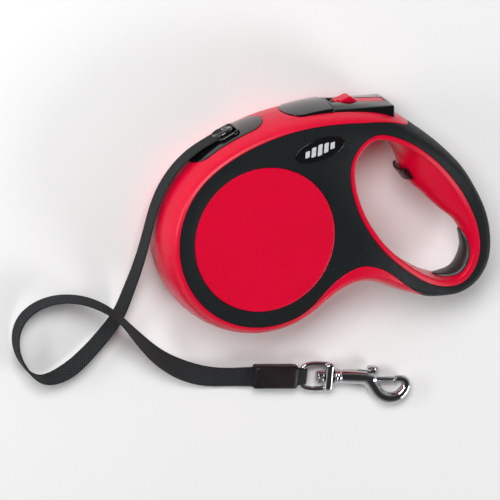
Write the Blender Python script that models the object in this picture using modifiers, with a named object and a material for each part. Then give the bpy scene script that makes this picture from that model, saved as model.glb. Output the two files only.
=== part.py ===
"""Retractable tape leash lying on its side: reel case with a closed-loop handle, tape, bolt snap.

The origin is on the reel's axis, on the surface that the case lies on. +X runs along the case to the
handle, +Y to the brake button, +Z up through the case's thickness. Metres.
"""

import math

import bmesh
import bpy
import numpy as np
from mathutils import Matrix, Vector

MM = 0.001

# Case
HALF = 21.0 * MM          # half the thickness: the shells meet at this height
RIM = 6.5 * MM            # how far the rounded rim reaches in from the outline, at full thickness
BODY_R = 55.3 * MM        # round reel end of the outline
WALL = 1.8 * MM
INLAY = 1.4 * MM          # depth of the recess for the soft overlay
OVERLAY = 0.9 * MM        # thickness of the soft overlay
GAP = 0.3 * MM            # gap between neighbouring pieces
DISC_R = 39.9 * MM        # raised red disc on each face
RING = 3.0 * MM           # raised ring round the hand hole
RING_EDGE = 1.4 * MM      # rounding of the ring's inner edge
LAND = 1.8 * MM           # straight stretch of the hand hole's wall beside the parting line
OUTLINE_POINTS = 66
HOLE_POINTS = 46
PLAIN_EDGE = 0.35         # ring spacing on the rim where the overlay wraps it, in rim widths

# The case's outline past the reel, in mm: x, y, and how far in the soft overlay starts, in rim widths
HANDLE_OUTLINE = (
    (48, -34.5, 1.38), (57, -32, 1.55), (67, -33.5, 1.32), (79.1, -38.6, 1.0), (92.3, -43.4, 0.55),
    (99.1, -45.4, 0.2), (106.1, -46, 0), (116.4, -45.6, 0), (127.2, -40.1, 0), (134.3, -29.5, 0),
    (136, -16, 0), (133, 0.4, 0), (126.9, 13.6, 0), (120.2, 24.5, 0), (111.7, 34.2, 0), (103.2, 42.2, 0),
    (93, 50.3, 0), (87.5, 54.4, 0.1), (82, 58.2, 0.55), (76, 61.3, 0.72), (70, 63.5, 0.85), (57, 65.8, 1),
    (42, 66.8, 1), (28, 66.3, 1), (14, 64.4, 1), (0, 60.8, 1), (-13, 56.0, 1), (-24, 50.4, 1),
)
# The hand hole, in mm: x, y of its edge on the face, then x, y of the ridge at the parting line
HAND_HOLE = (
    (58.5, 46.2, 59.2, 45.2), (64.5, 49.2, 65, 48.2), (73, 47.6, 74.6, 45.9), (82.2, 43.1, 81.6, 38.2),
    (91.6, 36.3, 84.5, 29.3), (99.8, 28.9, 89.4, 20.3), (106.6, 21.3, 95.5, 14.1), (112.9, 12.9, 102, 7.8),
    (117.4, 5.2, 108.4, 1.7), (121.3, -3.2, 115.4, -4.4), (123.7, -12, 120, -12.2), (124.3, -19.5, 121.6, -19.4),
    (122, -28.4, 119.2, -27.6), (116.6, -34.7, 114.8, -32.5), (107.6, -35.6, 107, -34.4),
    (96.7, -31.6, 96.4, -31), (87.4, -25.6, 87.3, -25.3), (78.5, -18.6, 78.7, -18.4), (70.3, -10.7, 70.7, -10.4),
    (63.2, -1.5, 63.8, -1.2), (57.8, 8, 58.6, 8.3), (54, 18, 54.9, 18.1), (52, 28, 53, 28), (52.8, 38, 53.7, 37.7),
)
# How the handle thins, in mm: the reach along HANDLE_DIRECTION, and the share that is left of the thickness
HANDLE_DIRECTION = Vector((0.97, -0.243, 0))
THINNING = ((61, 1.0), (69, 0.97), (78, 0.9), (110, 0.53), (120, 0.46), (136, 0.44))

# Reel
AXLE_R = 3.2 * MM
BORE_R = 3.5 * MM
REEL_R = 47.0 * MM
HUB_R = 14.0 * MM
ROLL_R = 43.0 * MM
TAPE_W = 11.0 * MM
TAPE_T = 1.1 * MM
CUP_R = 40.0 * MM
RATCHET_ROOT = 43.5 * MM
RATCHET_TIP = 46.6 * MM
RATCHET_TEETH = 24
RATCHET_GAP_DEG = 8.5     # flat root between two teeth
PAWL_DEG = 47.0           # where round the reel the pawl engages

# Brake
PIN = Vector((24.0, 59.3)) * MM       # button hinge
BUTTON_FRONT = 41.9 * MM
BUTTON_REAR = 76.9 * MM
BUTTON_HALF = 13.3 * MM
SLOT_HALF = 13.8 * MM
PAWL_IN = 47.4 * MM
PAWL_OUT = 78.3 * MM

# Snap, in its own frame: x along its axis from the middle of the swivel eye, y sideways, z up
SNAP_AT = Vector((43.0, -90.3, 4.2)) * MM
SNAP_YAW = math.radians(-5.4)
EYE_BAR_X = -8.2 * MM
SLEEVE_X = (-36.1 * MM, -11.4 * MM)

# The tape's route from the stopper to the sleeve, in mm: x, y, z of its middle, and the lean of its width from
# lying flat, in degrees
TAPE_ROUTE = (
    (-20.6, 54.0, 21, 90), (-27.5, 50.8, 21, 90), (-35, 46.4, 21, 90), (-42.3, 40.2, 21, 90),
    (-50.2, 29.5, 20.5, 89), (-55.4, 17, 19.5, 88), (-58.5, 4, 18, 87), (-61, -8, 16, 85),
    (-63.6, -20, 12.6, 82), (-66.6, -32, 8.6, 79), (-71.3, -44.5, 6.1, 75), (-79, -54.5, 5.9, 71),
    (-90, -65.5, 5.9, 66), (-104, -75, 5.7, 64), (-114.5, -76.4, 5.8, 78), (-123.5, -69.5, 5.9, 87),
    (-129.3, -56, 5.9, 90), (-126.6, -42.5, 6.6, 92), (-116, -33.6, 9, 95), (-101, -31, 12.8, 100),
    (-87, -34.6, 17.2, 106), (-74.5, -43.4, 19.2, 110), (-68, -50.4, 17.4, 117), (-60.5, -58.5, 13.8, 127),
    (-49.5, -69, 9.2, 139),
    (-37, -77.5, 5.6, 155), (-20, -84.3, 3.4, 182), (-6, -86.2, 3.4, 192), (6.6, -87.0, 4.2, 182),
)

# Colour, roughness, metallic of each material
FINISHES = {
    "red_shell": ((0.62, 0.0, 0.03), 0.3, 0.0),
    "soft_black": ((0.010, 0.013, 0.015), 0.6, 0.0),
    "gloss_black": ((0.006, 0.007, 0.008), 0.12, 0.0),
    "nylon_black": ((0.012, 0.014, 0.015), 0.8, 0.0),
    "sleeve_rubber": ((0.016, 0.010, 0.013), 0.5, 0.0),
    "band_rubber": ((0.03, 0.032, 0.035), 0.35, 0.0),
    "acetal_white": ((0.75, 0.75, 0.72), 0.4, 0.0),
    "grey_plastic": ((0.25, 0.26, 0.27), 0.45, 0.0),
    "chrome": ((0.8, 0.8, 0.82), 0.08, 1.0),
    "steel": ((0.55, 0.55, 0.56), 0.3, 1.0),
    "spring_steel": ((0.35, 0.36, 0.4), 0.35, 1.0),
}

UP = Vector((0, 0, 1))


# ---------- scene and object helpers ----------

def clear_scene():
    for obj in list(bpy.data.objects):
        bpy.data.objects.remove(obj, do_unlink=True)


def new_collection(name):
    collection = bpy.data.collections.new(name)
    bpy.context.scene.collection.children.link(collection)
    return collection


def make_materials():
    made = {}
    for name, (colour, roughness, metallic) in FINISHES.items():
        material = bpy.data.materials.new(name)
        material.use_nodes = True
        shader = material.node_tree.nodes["Principled BSDF"]
        shader.inputs["Base Color"].default_value = (*colour, 1)
        shader.inputs["Roughness"].default_value = roughness
        shader.inputs["Metallic"].default_value = metallic
        made[name] = material
    return made


def add_object(name, data, finish, collection=None):
    obj = bpy.data.objects.new(name, data)
    if finish:
        data.materials.append(MATERIALS[finish])
    (collection or PARTS).objects.link(obj)
    return obj


def mesh_object(name, bm, finish, collection=None):
    """The bmesh as an object, with its faces pointing out."""
    bmesh.ops.recalc_face_normals(bm, faces=bm.faces)
    mesh = bpy.data.meshes.new(name)
    bm.to_mesh(mesh)
    bm.free()
    mesh.shade_smooth()
    mesh.set_sharp_from_angle(angle=math.radians(40))
    return add_object(name, mesh, finish, collection)


def cutter(bm):
    obj = mesh_object("cutter", bm, None, CUTTERS)
    obj.hide_render = True
    obj.display_type = "WIRE"
    return obj


def boolean(obj, tool, operation):
    modifier = obj.modifiers.new(operation.lower(), "BOOLEAN")
    modifier.operation = operation
    modifier.object = tool


def thin_handle(obj):
    """Thins a piece about the parting plane, in straight stretches between the reaches of THINNING."""
    mesh = bpy.data.meshes.new_from_object(obj.evaluated_get(bpy.context.evaluated_depsgraph_get()))
    tools = [modifier.object for modifier in obj.modifiers if modifier.type == "BOOLEAN"]
    obj.modifiers.clear()
    for tool in tools:
        bpy.data.objects.remove(tool, do_unlink=True)
    bm = bmesh.new()
    bm.from_mesh(mesh)
    bmesh.ops.triangulate(bm, faces=bm.faces, quad_method="SHORT_EDGE")
    for reach, _ in THINNING:
        bmesh.ops.bisect_plane(bm, geom=bm.verts[:] + bm.edges[:] + bm.faces[:], dist=1e-7,
                               plane_co=HANDLE_DIRECTION * reach * MM, plane_no=HANDLE_DIRECTION)
    for vert in bm.verts:
        vert.co.z = HALF + (vert.co.z - HALF) * thickness_share(vert.co.dot(HANDLE_DIRECTION))
    bm.to_mesh(mesh)
    bm.free()
    mesh.shade_smooth()
    mesh.set_sharp_from_angle(angle=math.radians(40))
    obj.data = mesh


def to_mesh(curve_obj, finish):
    """A curve object turned into a mesh object with its caps welded."""
    depsgraph = bpy.context.evaluated_depsgraph_get()
    mesh = bpy.data.meshes.new_from_object(curve_obj.evaluated_get(depsgraph))
    bm = bmesh.new()
    bm.from_mesh(mesh)
    bmesh.ops.remove_doubles(bm, verts=bm.verts, dist=1e-6)
    name = curve_obj.name
    matrix = curve_obj.matrix_world.copy()
    bpy.data.objects.remove(curve_obj, do_unlink=True)
    obj = mesh_object(name, bm, finish)
    obj.matrix_world = matrix
    return obj


# ---------- bmesh helpers ----------

def ring_verts(bm, points):
    return [bm.verts.new(p) for p in points]


def bridge(bm, first, second, closed=True):
    count = len(first)
    for k in range(count if closed else count - 1):
        after = (k + 1) % count
        bm.faces.new((first[k], first[after], second[after], second[k]))


def loop_edges(bm, verts):
    edges = []
    for k, vert in enumerate(verts):
        after = verts[(k + 1) % len(verts)]
        edges.append(bm.edges.get((vert, after)) or bm.edges.new((vert, after)))
    return edges


def loft(sections):
    """A closed solid through closed sections of the same length."""
    bm = bmesh.new()
    rings = [ring_verts(bm, section) for section in sections]
    for first, second in zip(rings, rings[1:]):
        bridge(bm, first, second)
    bm.faces.new(rings[0][::-1])
    bm.faces.new(rings[-1])
    return bm


def turned(name, profile, finish, steps=36, axis="Z"):
    """A closed profile of (radius, height) pairs turned about an axis."""
    mesh = bpy.data.meshes.new(name)
    points = [(r, 0, h) if axis == "Z" else (h, 0, r) for r, h in profile]
    edges = [(k, (k + 1) % len(points)) for k in range(len(points))]
    mesh.from_pydata(points, edges, [])
    obj = add_object(name, mesh, finish)
    screw = obj.modifiers.new("turn", "SCREW")
    screw.axis = axis
    screw.steps = steps
    screw.render_steps = steps
    screw.use_merge_vertices = True
    screw.merge_threshold = 1e-6
    screw.use_smooth_shade = True
    return obj


def add_cylinder(bm, at, radius, low, high, axis="Z", segments=24):
    """A closed cylinder from low to high along an axis, on the line through at."""
    made = bmesh.ops.create_cone(
        bm, cap_ends=True, segments=segments, radius1=radius, radius2=radius, depth=high - low)["verts"]
    turn = {"Z": Matrix(), "X": Matrix.Rotation(math.pi / 2, 4, "Y"), "Y": Matrix.Rotation(-math.pi / 2, 4, "X")}
    along = {"X": Vector((1, 0, 0)), "Y": Vector((0, 1, 0)), "Z": UP}[axis]
    bmesh.ops.transform(bm, verts=made, matrix=turn[axis])
    bmesh.ops.translate(bm, verts=made, vec=Vector(at) + along * (low + high) / 2)
    return made


def add_rod(bm, rows, at=(0, 0, 0), axis="Z", segments=16):
    """A closed solid of circles: each row is a height along the axis and a radius."""
    first, second = (1, 2) if axis == "X" else (0, 1)
    rings = []
    for run, radius in rows:
        ring = []
        for k in range(segments):
            turn = 2 * math.pi * k / segments
            spot = list(at)
            spot[first] += radius * math.cos(turn)
            spot[second] += radius * math.sin(turn)
            spot[0 if axis == "X" else 2] += run
            ring.append(spot)
        rings.append(ring_verts(bm, ring))
    for before, after in zip(rings, rings[1:]):
        bridge(bm, before, after)
    bm.faces.new(rings[0])
    bm.faces.new(rings[-1])


def add_box(bm, low, high):
    made = bmesh.ops.create_cube(bm, size=1)["verts"]
    size = Vector(high) - Vector(low)
    bmesh.ops.scale(bm, verts=made, vec=size)
    bmesh.ops.translate(bm, verts=made, vec=(Vector(high) + Vector(low)) / 2)
    return made


def bevel_all(bm, width, segments=1):
    bmesh.ops.bevel(bm, geom=bm.edges, offset=width, segments=segments, affect="EDGES", profile=0.5)


# ---------- smooth outlines ----------

def spline_columns(points, closed, linear=0):
    """A reader for the natural cubic curve through the points, by length along it; the last columns go linearly."""
    pts = np.asarray(points, float)
    if closed:
        pts = np.vstack([pts, pts[:1]])
    step = np.linalg.norm(np.diff(pts[:, :2], axis=0), axis=1)
    knots = np.concatenate([[0], np.cumsum(step)])
    count = len(pts)
    matrix = np.eye(count)
    right = np.zeros_like(pts)
    for k in range(1, count - 1):
        matrix[k, k - 1:k + 2] = step[k - 1], 2 * (step[k - 1] + step[k]), step[k]
        right[k] = 6 * ((pts[k + 1] - pts[k]) / step[k] - (pts[k] - pts[k - 1]) / step[k - 1])
    if closed:
        matrix[0, -1] = -1
        matrix[-1] = 0
        matrix[-1, [0, 1, -2]] = 2 * (step[0] + step[-1]), step[0], step[-1]
        right[-1] = 6 * ((pts[1] - pts[0]) / step[0] - (pts[-1] - pts[-2]) / step[-1])
    bend = np.linalg.solve(matrix, right)

    def read(at):
        k = np.clip(np.searchsorted(knots, at, side="right") - 1, 0, count - 2)
        b = ((at - knots[k]) / step[k])[:, None]
        a = 1 - b
        curve = a * pts[k] + b * pts[k + 1]
        cubic = ((a ** 3 - a) * bend[k] + (b ** 3 - b) * bend[k + 1]) * (step[k] ** 2)[:, None] / 6
        if linear:
            cubic[:, -linear:] = 0
        return curve + cubic
    return read, knots[-1]


def sample_curve(points, count, closed=True, linear=0):
    """Points evenly spaced along the smooth curve, and the unit direction at each."""
    read, total = spline_columns(points, closed, linear)
    fine = read(np.linspace(0, total, 4001))
    run = np.concatenate([[0], np.cumsum(np.linalg.norm(np.diff(fine[:, :2], axis=0), axis=1))])
    wanted = np.linspace(0, run[-1], count, endpoint=not closed)
    even = np.stack([np.interp(wanted, run, column) for column in fine.T], axis=1)
    slope = np.gradient(fine[:, :2], axis=0)
    if closed:
        slope[0] = slope[-1] = fine[1, :2] - fine[-2, :2]
    slope = np.stack([np.interp(wanted, run, column) for column in slope.T], axis=1)
    return even, slope / np.linalg.norm(slope, axis=1, keepdims=True)


def right_of(direction):
    return np.stack([direction[:, 1], -direction[:, 0]], axis=1)


def thickness_share(along):
    """The share of the full thickness that is left at a reach along HANDLE_DIRECTION."""
    reaches, shares = np.array(THINNING).T
    return np.interp(along, reaches * MM, shares)


def case_outline():
    """The case's outline at the parting line, anticlockwise: points, outward normals, overlay edge, and how far
    the rounded rim reaches in."""
    arc = [
        (BODY_R / MM * math.cos(math.radians(a)), BODY_R / MM * math.sin(math.radians(a)), 1.0)
        for a in range(130, 300, 14)
    ]
    arc.append((BODY_R / MM * math.cos(math.radians(308)), BODY_R / MM * math.sin(math.radians(308)), 1.08))
    even, direction = sample_curve(arc + list(HANDLE_OUTLINE), OUTLINE_POINTS, linear=1)
    flat = even[:, :2] * MM
    rim_reach = RIM * (0.4 + 0.6 * thickness_share(flat @ np.array(HANDLE_DIRECTION.xy)))
    return flat, right_of(direction), even[:, 2], rim_reach


def hand_hole():
    """The hand hole, clockwise: edge on the face, normals into the hole, ridge at the parting line."""
    even, direction = sample_curve(HAND_HOLE, HOLE_POINTS)
    return even[:, :2] * MM, right_of(direction), even[:, 2:] * MM


# ---------- the case's surface ----------

def rim_ring(edge, depth, side, low=0.0):
    """Points on the rim, one for each outline point: edge 0 is the parting line, 1 the flat face's border, and
    past 1 each whole step is 10 mm on the face. depth is measured into the case."""
    edge = np.broadcast_to(edge, len(OUTLINE)).astype(float)
    angle = np.minimum(edge, 1) * math.pi / 2
    lean = np.stack([HALF * np.cos(angle), RIM_REACH * np.sin(angle)], axis=1)
    lean /= np.linalg.norm(lean, axis=1, keepdims=True)
    inset = RIM_REACH * (1 - np.cos(angle)) + np.maximum(edge - 1, 0) * 10 * MM + depth * lean[:, 0]
    height = np.maximum(HALF * np.sin(angle) - depth * lean[:, 1], low)
    flat = OUTLINE - OUTWARD * inset[:, None]
    return np.column_stack([flat, HALF + side * height])


def hole_ring(back, height, side):
    """Points round the hand hole on its face edge, moved back from the hole."""
    return np.column_stack([HOLE - INTO_HOLE * back, np.full(len(HOLE), HALF + side * height)])


def wall_mix(height):
    """How far the hand hole's wall has gone from the ridge to the face edge, 0 to 1, at a height."""
    return (max(height - LAND, 0) / (HALF - RING_EDGE - LAND)) ** 1.7


def wall_ring(height, side, lift=0.0):
    mix = wall_mix(height)
    flat = RIDGE * (1 - mix) + HOLE * mix + INTO_HOLE * lift
    return np.column_stack([flat, np.full(len(HOLE), HALF + side * height)])


def circle(radius, height, count=32):
    turn = [2 * math.pi * k / count for k in range(count)]
    return [(radius * math.cos(a), radius * math.sin(a), height) for a in turn]


def inlay_rings(start):
    """Ring positions down the overlay's recess, from start to just past the rim, the same for shell and overlay."""
    end = np.maximum(start, 1) + 0.14
    return [start + (end - start) * part for part in (0, 0.3, 0.62, 1)]


def wrapped():
    """True at each outline point where the soft overlay goes all the way round the rim."""
    return EDGE < 0.3


def bridge_all(bm, loops):
    """Bridges each loop of points to the next; returns the loops as vertices."""
    rings = [ring_verts(bm, loop) for loop in loops]
    for first, second in zip(rings, rings[1:]):
        bridge(bm, first, second)
    return rings


def shell_solid(side):
    """One shell: its outer skin with the overlay's recess, its inner skin, and the rims where the halves meet."""
    bm = bmesh.new()
    step = np.where(wrapped(), PLAIN_EDGE, EDGE)
    depth = np.where(wrapped(), INLAY, 0.0)
    rings = [rim_ring(step * part, depth, side, GAP) for part in (0, 0.33, 0.66, 1)]
    rings += [rim_ring(ring, INLAY, side) for ring in inlay_rings(step)]
    outer = bridge_all(bm, rings)
    disc = bridge_all(bm, [circle(DISC_R, HALF + side * (HALF - INLAY)), circle(DISC_R, HALF + side * HALF)])
    bm.faces.new(disc[1])
    loops = [hole_ring(RING, HALF - INLAY, side), hole_ring(RING, HALF, side), hole_ring(RING_EDGE * 0.8, HALF, side)]
    loops.append(hole_ring(0, HALF - RING_EDGE, side))
    heights = (13 * MM, 7 * MM, LAND, GAP)
    hole = bridge_all(bm, loops + [wall_ring(height, side) for height in heights])
    bmesh.ops.triangle_fill(bm, use_beauty=True, edges=[
        edge for ring in (outer[-1], disc[0], hole[0]) for edge in loop_edges(bm, ring)])
    inside = INLAY + WALL
    inner = bridge_all(bm, [rim_ring(part, inside, side, GAP) for part in (0, 0.35, 0.7, 1)])
    heights = (HALF - inside,) + heights
    hole_inner = bridge_all(bm, [wall_ring(height, side, -WALL) for height in heights])
    bmesh.ops.triangle_fill(bm, use_beauty=True, edges=[
        edge for ring in (inner[-1], hole_inner[0]) for edge in loop_edges(bm, ring)])
    bridge(bm, outer[0], inner[0])
    bridge(bm, hole[-1], hole_inner[-1])
    return bm


def face_out(bm, side):
    """Turns an open skin's faces so that its flat face looks away from the parting line."""
    bmesh.ops.recalc_face_normals(bm, faces=bm.faces)
    flat = max(bm.faces, key=lambda face: side * face.calc_center_median().z + face.calc_area())
    if flat.normal.z * side < 0:
        bmesh.ops.reverse_faces(bm, faces=bm.faces)


def skin_object(name, bm, side, thickness, finish):
    face_out(bm, side)
    mesh = bpy.data.meshes.new(name)
    bm.to_mesh(mesh)
    bm.free()
    obj = add_object(name, mesh, finish)
    solid = obj.modifiers.new("wall", "SOLIDIFY")
    solid.thickness = thickness
    solid.offset = -1
    return obj


# ---------- case ----------

# The screws, in mm: x, y, and how far from the parting line their posts start
SCREWS = ((58, -25, 18.7), (124.4, 6, 15.2), (105, 32.3, 15.2), (97, -38, 15.2), (8, 55.3, 18.7))
POST_R = 3.0 * MM
SCREW_BORE_R = 1.5 * MM
SCREW_R = 1.1 * MM
SINK_R = 2.3 * MM         # the sinks that the screw heads lie in
SINK_FLOOR = 14.2 * MM    # from the parting line
SCREW_HEAD_R = 1.95 * MM
SCREW_TIP = 9.0 * MM


def screw_place(spot):
    return spot[0] * MM, spot[1] * MM, HALF


def shell_inside(side):
    """The posts and the axle boss that stand inside one shell, as one tool of separate bodies."""
    bm = bmesh.new()
    for spot in SCREWS:
        add_rod(bm, ((side * spot[2] * MM, POST_R), (side * 0.4 * MM, POST_R)), screw_place(spot))
    boss_tip = 17.4 * MM if side < 0 else 8.4 * MM
    add_rod(bm, ((side * (HALF - 1 * MM), 7 * MM), (side * boss_tip, 7 * MM)), (0, 0, HALF), segments=24)
    return cutter(bm)


def shell_holes(side):
    """The bores in one shell: screw holes with their sinks, and the axle's seat."""
    bm = bmesh.new()
    for spot in SCREWS:
        if side > 0:
            rows = ((-1 * MM, SCREW_BORE_R), (SCREW_TIP + 1 * MM, SCREW_BORE_R))
        else:
            rows = ((-HALF - 1 * MM, SINK_R), (-SINK_FLOOR, SINK_R), (-SINK_FLOOR, SCREW_BORE_R),
                    (1 * MM, SCREW_BORE_R))
        add_rod(bm, rows, screw_place(spot), segments=12)
    seat = (-18.8 * MM, -10 * MM) if side < 0 else (5 * MM, 18.8 * MM)
    add_rod(bm, [(height, BORE_R) for height in seat], (0, 0, HALF), segments=20)
    return cutter(bm)


def top_line(x):
    """Height of the outline's upper run and its outward normal at each x."""
    even, direction = sample_curve(
        [(BODY_R / MM * math.cos(math.radians(a)), BODY_R / MM * math.sin(math.radians(a)), 1.0)
         for a in (158, 144)] + [(x_mm, y_mm, 1) for x_mm, y_mm, _ in reversed(HANDLE_OUTLINE[14:])],
        600, closed=False)
    order = np.argsort(even[:, 0])
    even, out = even[order] * MM, -right_of(direction)[order]
    y = np.interp(x, even[:, 0], even[:, 1])
    normal = np.stack([np.interp(x, even[:, 0], out[:, 0]), np.interp(x, even[:, 0], out[:, 1])], axis=-1)
    return y, normal / np.linalg.norm(normal, axis=-1, keepdims=True)


def rim_patch(xs, half_width, low, high, across=7):
    """A closed strip that follows the upper rim across both shells; low and high are its faces' heights over the
    rim, and half_width its reach either side of the parting line, each a function of x."""
    bm = bmesh.new()
    tops, bottoms = [], []
    ys, normals = top_line(np.array(xs))
    for x, y, normal in zip(xs, ys, normals):
        top, bottom = [], []
        for z in np.linspace(-half_width(x), half_width(x), across):
            inset = RIM * (1 - math.sqrt(1 - (z / HALF) ** 2))
            for store, lift in ((top, high(x)), (bottom, low(x))):
                spot = np.array([x, y]) + normal * (lift - inset)
                store.append((spot[0], spot[1], HALF + z))
        tops.append(ring_verts(bm, top))
        bottoms.append(ring_verts(bm, bottom))
    for first, second in zip(tops, tops[1:]):
        bridge(bm, first, second, closed=False)
    for first, second in zip(bottoms, bottoms[1:]):
        bridge(bm, first, second, closed=False)
    for top, bottom in ((tops[0], bottoms[0]), (tops[-1], bottoms[-1])):
        bridge(bm, top, bottom, closed=False)
    for end in (0, -1):
        bridge(bm, [row[end] for row in tops], [row[end] for row in bottoms], closed=False)
    return bm


NOZZLE_X = (-36.0 * MM, 5.2 * MM)
NOZZLE_HALF = 11.6 * MM
COVER_X = (16.6 * MM, 41.5 * MM)


def tongue(tip, tip_length, half, shrink=0.0):
    """Half-width of a panel with a rounded end at tip; tip_length is signed away from it."""
    def width(x):
        part = min(max((x - tip) / tip_length, 0), 1)
        return max((half - shrink) * math.sqrt(1 - (1 - part) ** 2), 1.2 * MM)
    return width


def rounded_steps(tip, tip_length, far, count=5, rest=5):
    """x values that are close together near a rounded tip."""
    near = [tip + tip_length * (1 - math.cos(math.pi / 2 * k / count)) for k in range(count + 1)]
    return near + list(np.linspace(near[-1], far, rest + 1)[1:])


def nozzle_panel(shrink, low, high):
    xs = rounded_steps(NOZZLE_X[1] - shrink, -10 * MM, NOZZLE_X[0] + shrink)
    return rim_patch(xs, tongue(NOZZLE_X[1] - shrink, -10 * MM, NOZZLE_HALF, shrink), low, high)


STOPPER_AT = Vector((-15.2, 55.9, 21.0)) * MM
STOPPER_SIZE = (10.0 * MM, 12.6 * MM)     # along the tape, across it
STOPPER_WIRE = 1.35 * MM


def outlet_frame():
    """The outlet's frame: along the tape, across the rim outward, and up."""
    _, normal = top_line(np.array([STOPPER_AT.x]))
    out = Vector((*normal[0], 0))
    return UP.cross(out), out


def outlet_box(along, across, low, high):
    """A box over the outlet, aligned with the rim there."""
    bm = bmesh.new()
    add_box(bm, (-along, low, -across), (along, high, across))
    forward, out = outlet_frame()
    matrix = Matrix((forward, out, UP)).transposed().to_4x4()
    matrix.translation = STOPPER_AT
    bmesh.ops.transform(bm, verts=bm.verts, matrix=matrix)
    return bm


def make_shell(name, side):
    obj = mesh_object(name, shell_solid(side), "red_shell")
    boolean(obj, shell_inside(side), "UNION")
    boolean(obj, shell_holes(side), "DIFFERENCE")
    boolean(obj, cutter(nozzle_panel(-GAP, lambda x: -7 * MM, lambda x: 5 * MM)), "DIFFERENCE")
    slot = rounded_steps(COVER_X[0] - GAP, 9 * MM, 66 * MM, rest=6)
    width = tongue(COVER_X[0] - GAP, 9 * MM, SLOT_HALF)
    boolean(obj, cutter(rim_patch(slot, width, lambda x: -7 * MM, lambda x: 6 * MM, across=3)), "DIFFERENCE")
    rear = bmesh.new()
    add_box(rear, (55 * MM, 54 * MM, HALF - SLOT_HALF), (BUTTON_REAR + 0.5 * MM, 80 * MM, HALF + SLOT_HALF))
    boolean(obj, cutter(rear), "DIFFERENCE")


def overlay_skin(side):
    bm = bmesh.new()
    plain = wrapped()
    inner = plain & np.roll(plain, 1) & np.roll(plain, -1)
    step = np.where(plain, PLAIN_EDGE, EDGE)
    shared = inlay_rings(step)
    start = np.where(inner, 0.0, step + 0.02)
    near = np.where(inner, PLAIN_EDGE * 0.5, start + (shared[1] - start) * 0.33)
    far = np.where(inner, PLAIN_EDGE, start + (shared[1] - start) * 0.66)
    rings = bridge_all(bm, [rim_ring(ring, 0.0, side, GAP) for ring in (start, near, far, *shared[1:])])
    disc = ring_verts(bm, circle(DISC_R + GAP, HALF + side * HALF))
    hole = ring_verts(bm, hole_ring(RING + GAP, HALF, side))
    edges = loop_edges(bm, rings[-1]) + loop_edges(bm, disc) + loop_edges(bm, hole)
    bmesh.ops.triangle_fill(bm, use_beauty=True, edges=edges)
    return bm


BADGE_AT = Vector((31.3, 47.2, 0)) * MM
BADGE_SIZE = (14.5 * MM, 6.0 * MM)        # half its length and half its width
BADGE_TILT = math.radians(15)


def badge_solid(side, grow, low, high):
    bm = bmesh.new()
    made = add_cylinder(bm, (0, 0, HALF), 1.0, side * HALF + low, side * HALF + high, segments=28)
    bmesh.ops.scale(bm, verts=made, vec=(BADGE_SIZE[0] + grow, BADGE_SIZE[1] + grow, 1))
    bmesh.ops.rotate(bm, verts=made, matrix=Matrix.Rotation(BADGE_TILT, 3, "Z"))
    bmesh.ops.translate(bm, verts=made, vec=BADGE_AT)
    return bm


def make_overlay(name, side):
    obj = skin_object(name, overlay_skin(side), side, OVERLAY, "soft_black")
    boolean(obj, cutter(badge_solid(side, GAP, -3 * MM, 3 * MM)), "DIFFERENCE")
    if side < 0:
        bm = bmesh.new()
        for spot in SCREWS[1:]:
            add_rod(bm, ((-HALF - 1 * MM, SINK_R + GAP / 2), (-HALF + 6 * MM, SINK_R + GAP / 2)), screw_place(spot))
        boolean(obj, cutter(bm), "DIFFERENCE")


def make_badge(name, side):
    """The badge stands proud on the upper face and lies just below the face the case rests on."""
    edges = (-0.8 * MM, 0.4 * MM) if side > 0 else (0.15 * MM, 1.1 * MM)
    mesh_object(name, badge_solid(side, 0.0, *edges), "gloss_black")


def make_case():
    for side, name in ((1, "left"), (-1, "right")):
        make_shell(f"housing_{name}", side)
        make_overlay(f"grip_overlay_{name}", side)
        make_badge(f"badge_{name}", side)


def make_screws():
    rows = ((-SINK_FLOOR - 1.6 * MM, SCREW_HEAD_R), (-SINK_FLOOR - GAP / 2, SCREW_HEAD_R),
            (-SINK_FLOOR - GAP / 2, SCREW_R), (SCREW_TIP, SCREW_R))
    for number, spot in enumerate(SCREWS, 1):
        bm = bmesh.new()
        add_rod(bm, rows, screw_place(spot), segments=12)
        mesh_object(f"case_screw_{number}", bm, "steel")


# ---------- outlet, hand band, adjuster ----------

def make_outlet():
    obj = mesh_object("outlet_nozzle", nozzle_panel(0.0, lambda x: -2.2 * MM, lambda x: 0.3 * MM), "gloss_black")
    mouth = outlet_box(STOPPER_SIZE[0] / 2 + 0.6 * MM, STOPPER_SIZE[1] / 2 + 0.6 * MM, -6 * MM, 5 * MM)
    boolean(obj, cutter(mouth), "DIFFERENCE")


def stadium_loop(length, width, count=20):
    """Points round a closed oval of the given outer reach, in its own plane."""
    points = []
    for k in range(count):
        a = 2 * math.pi * k / count
        grow = (abs(math.cos(a)) ** 4 + abs(math.sin(a)) ** 4) ** -0.25
        points.append((length / 2 * grow * math.cos(a), width / 2 * grow * math.sin(a)))
    return points


def tube(name, points, radius, finish, cyclic=False, resolution=1, radii=None):
    curve = bpy.data.curves.new(name, "CURVE")
    curve.dimensions = "3D"
    curve.bevel_depth = radius
    curve.bevel_resolution = resolution
    curve.use_fill_caps = not cyclic
    spline = curve.splines.new("POLY")
    spline.points.add(len(points) - 1)
    for k, point in enumerate(points):
        spline.points[k].co = (*point, 1)
        spline.points[k].radius = radii[k] if radii else 1.0
    spline.use_cyclic_u = cyclic
    return add_object(name, curve, finish)


def make_stopper():
    forward, out = outlet_frame()
    oval = stadium_loop(STOPPER_SIZE[0] - 2 * STOPPER_WIRE, STOPPER_SIZE[1] - 2 * STOPPER_WIRE)
    points = [STOPPER_AT + forward * along + UP * across for along, across in oval]
    tube("tape_stopper", points, STOPPER_WIRE, "gloss_black", cyclic=True)


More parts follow.
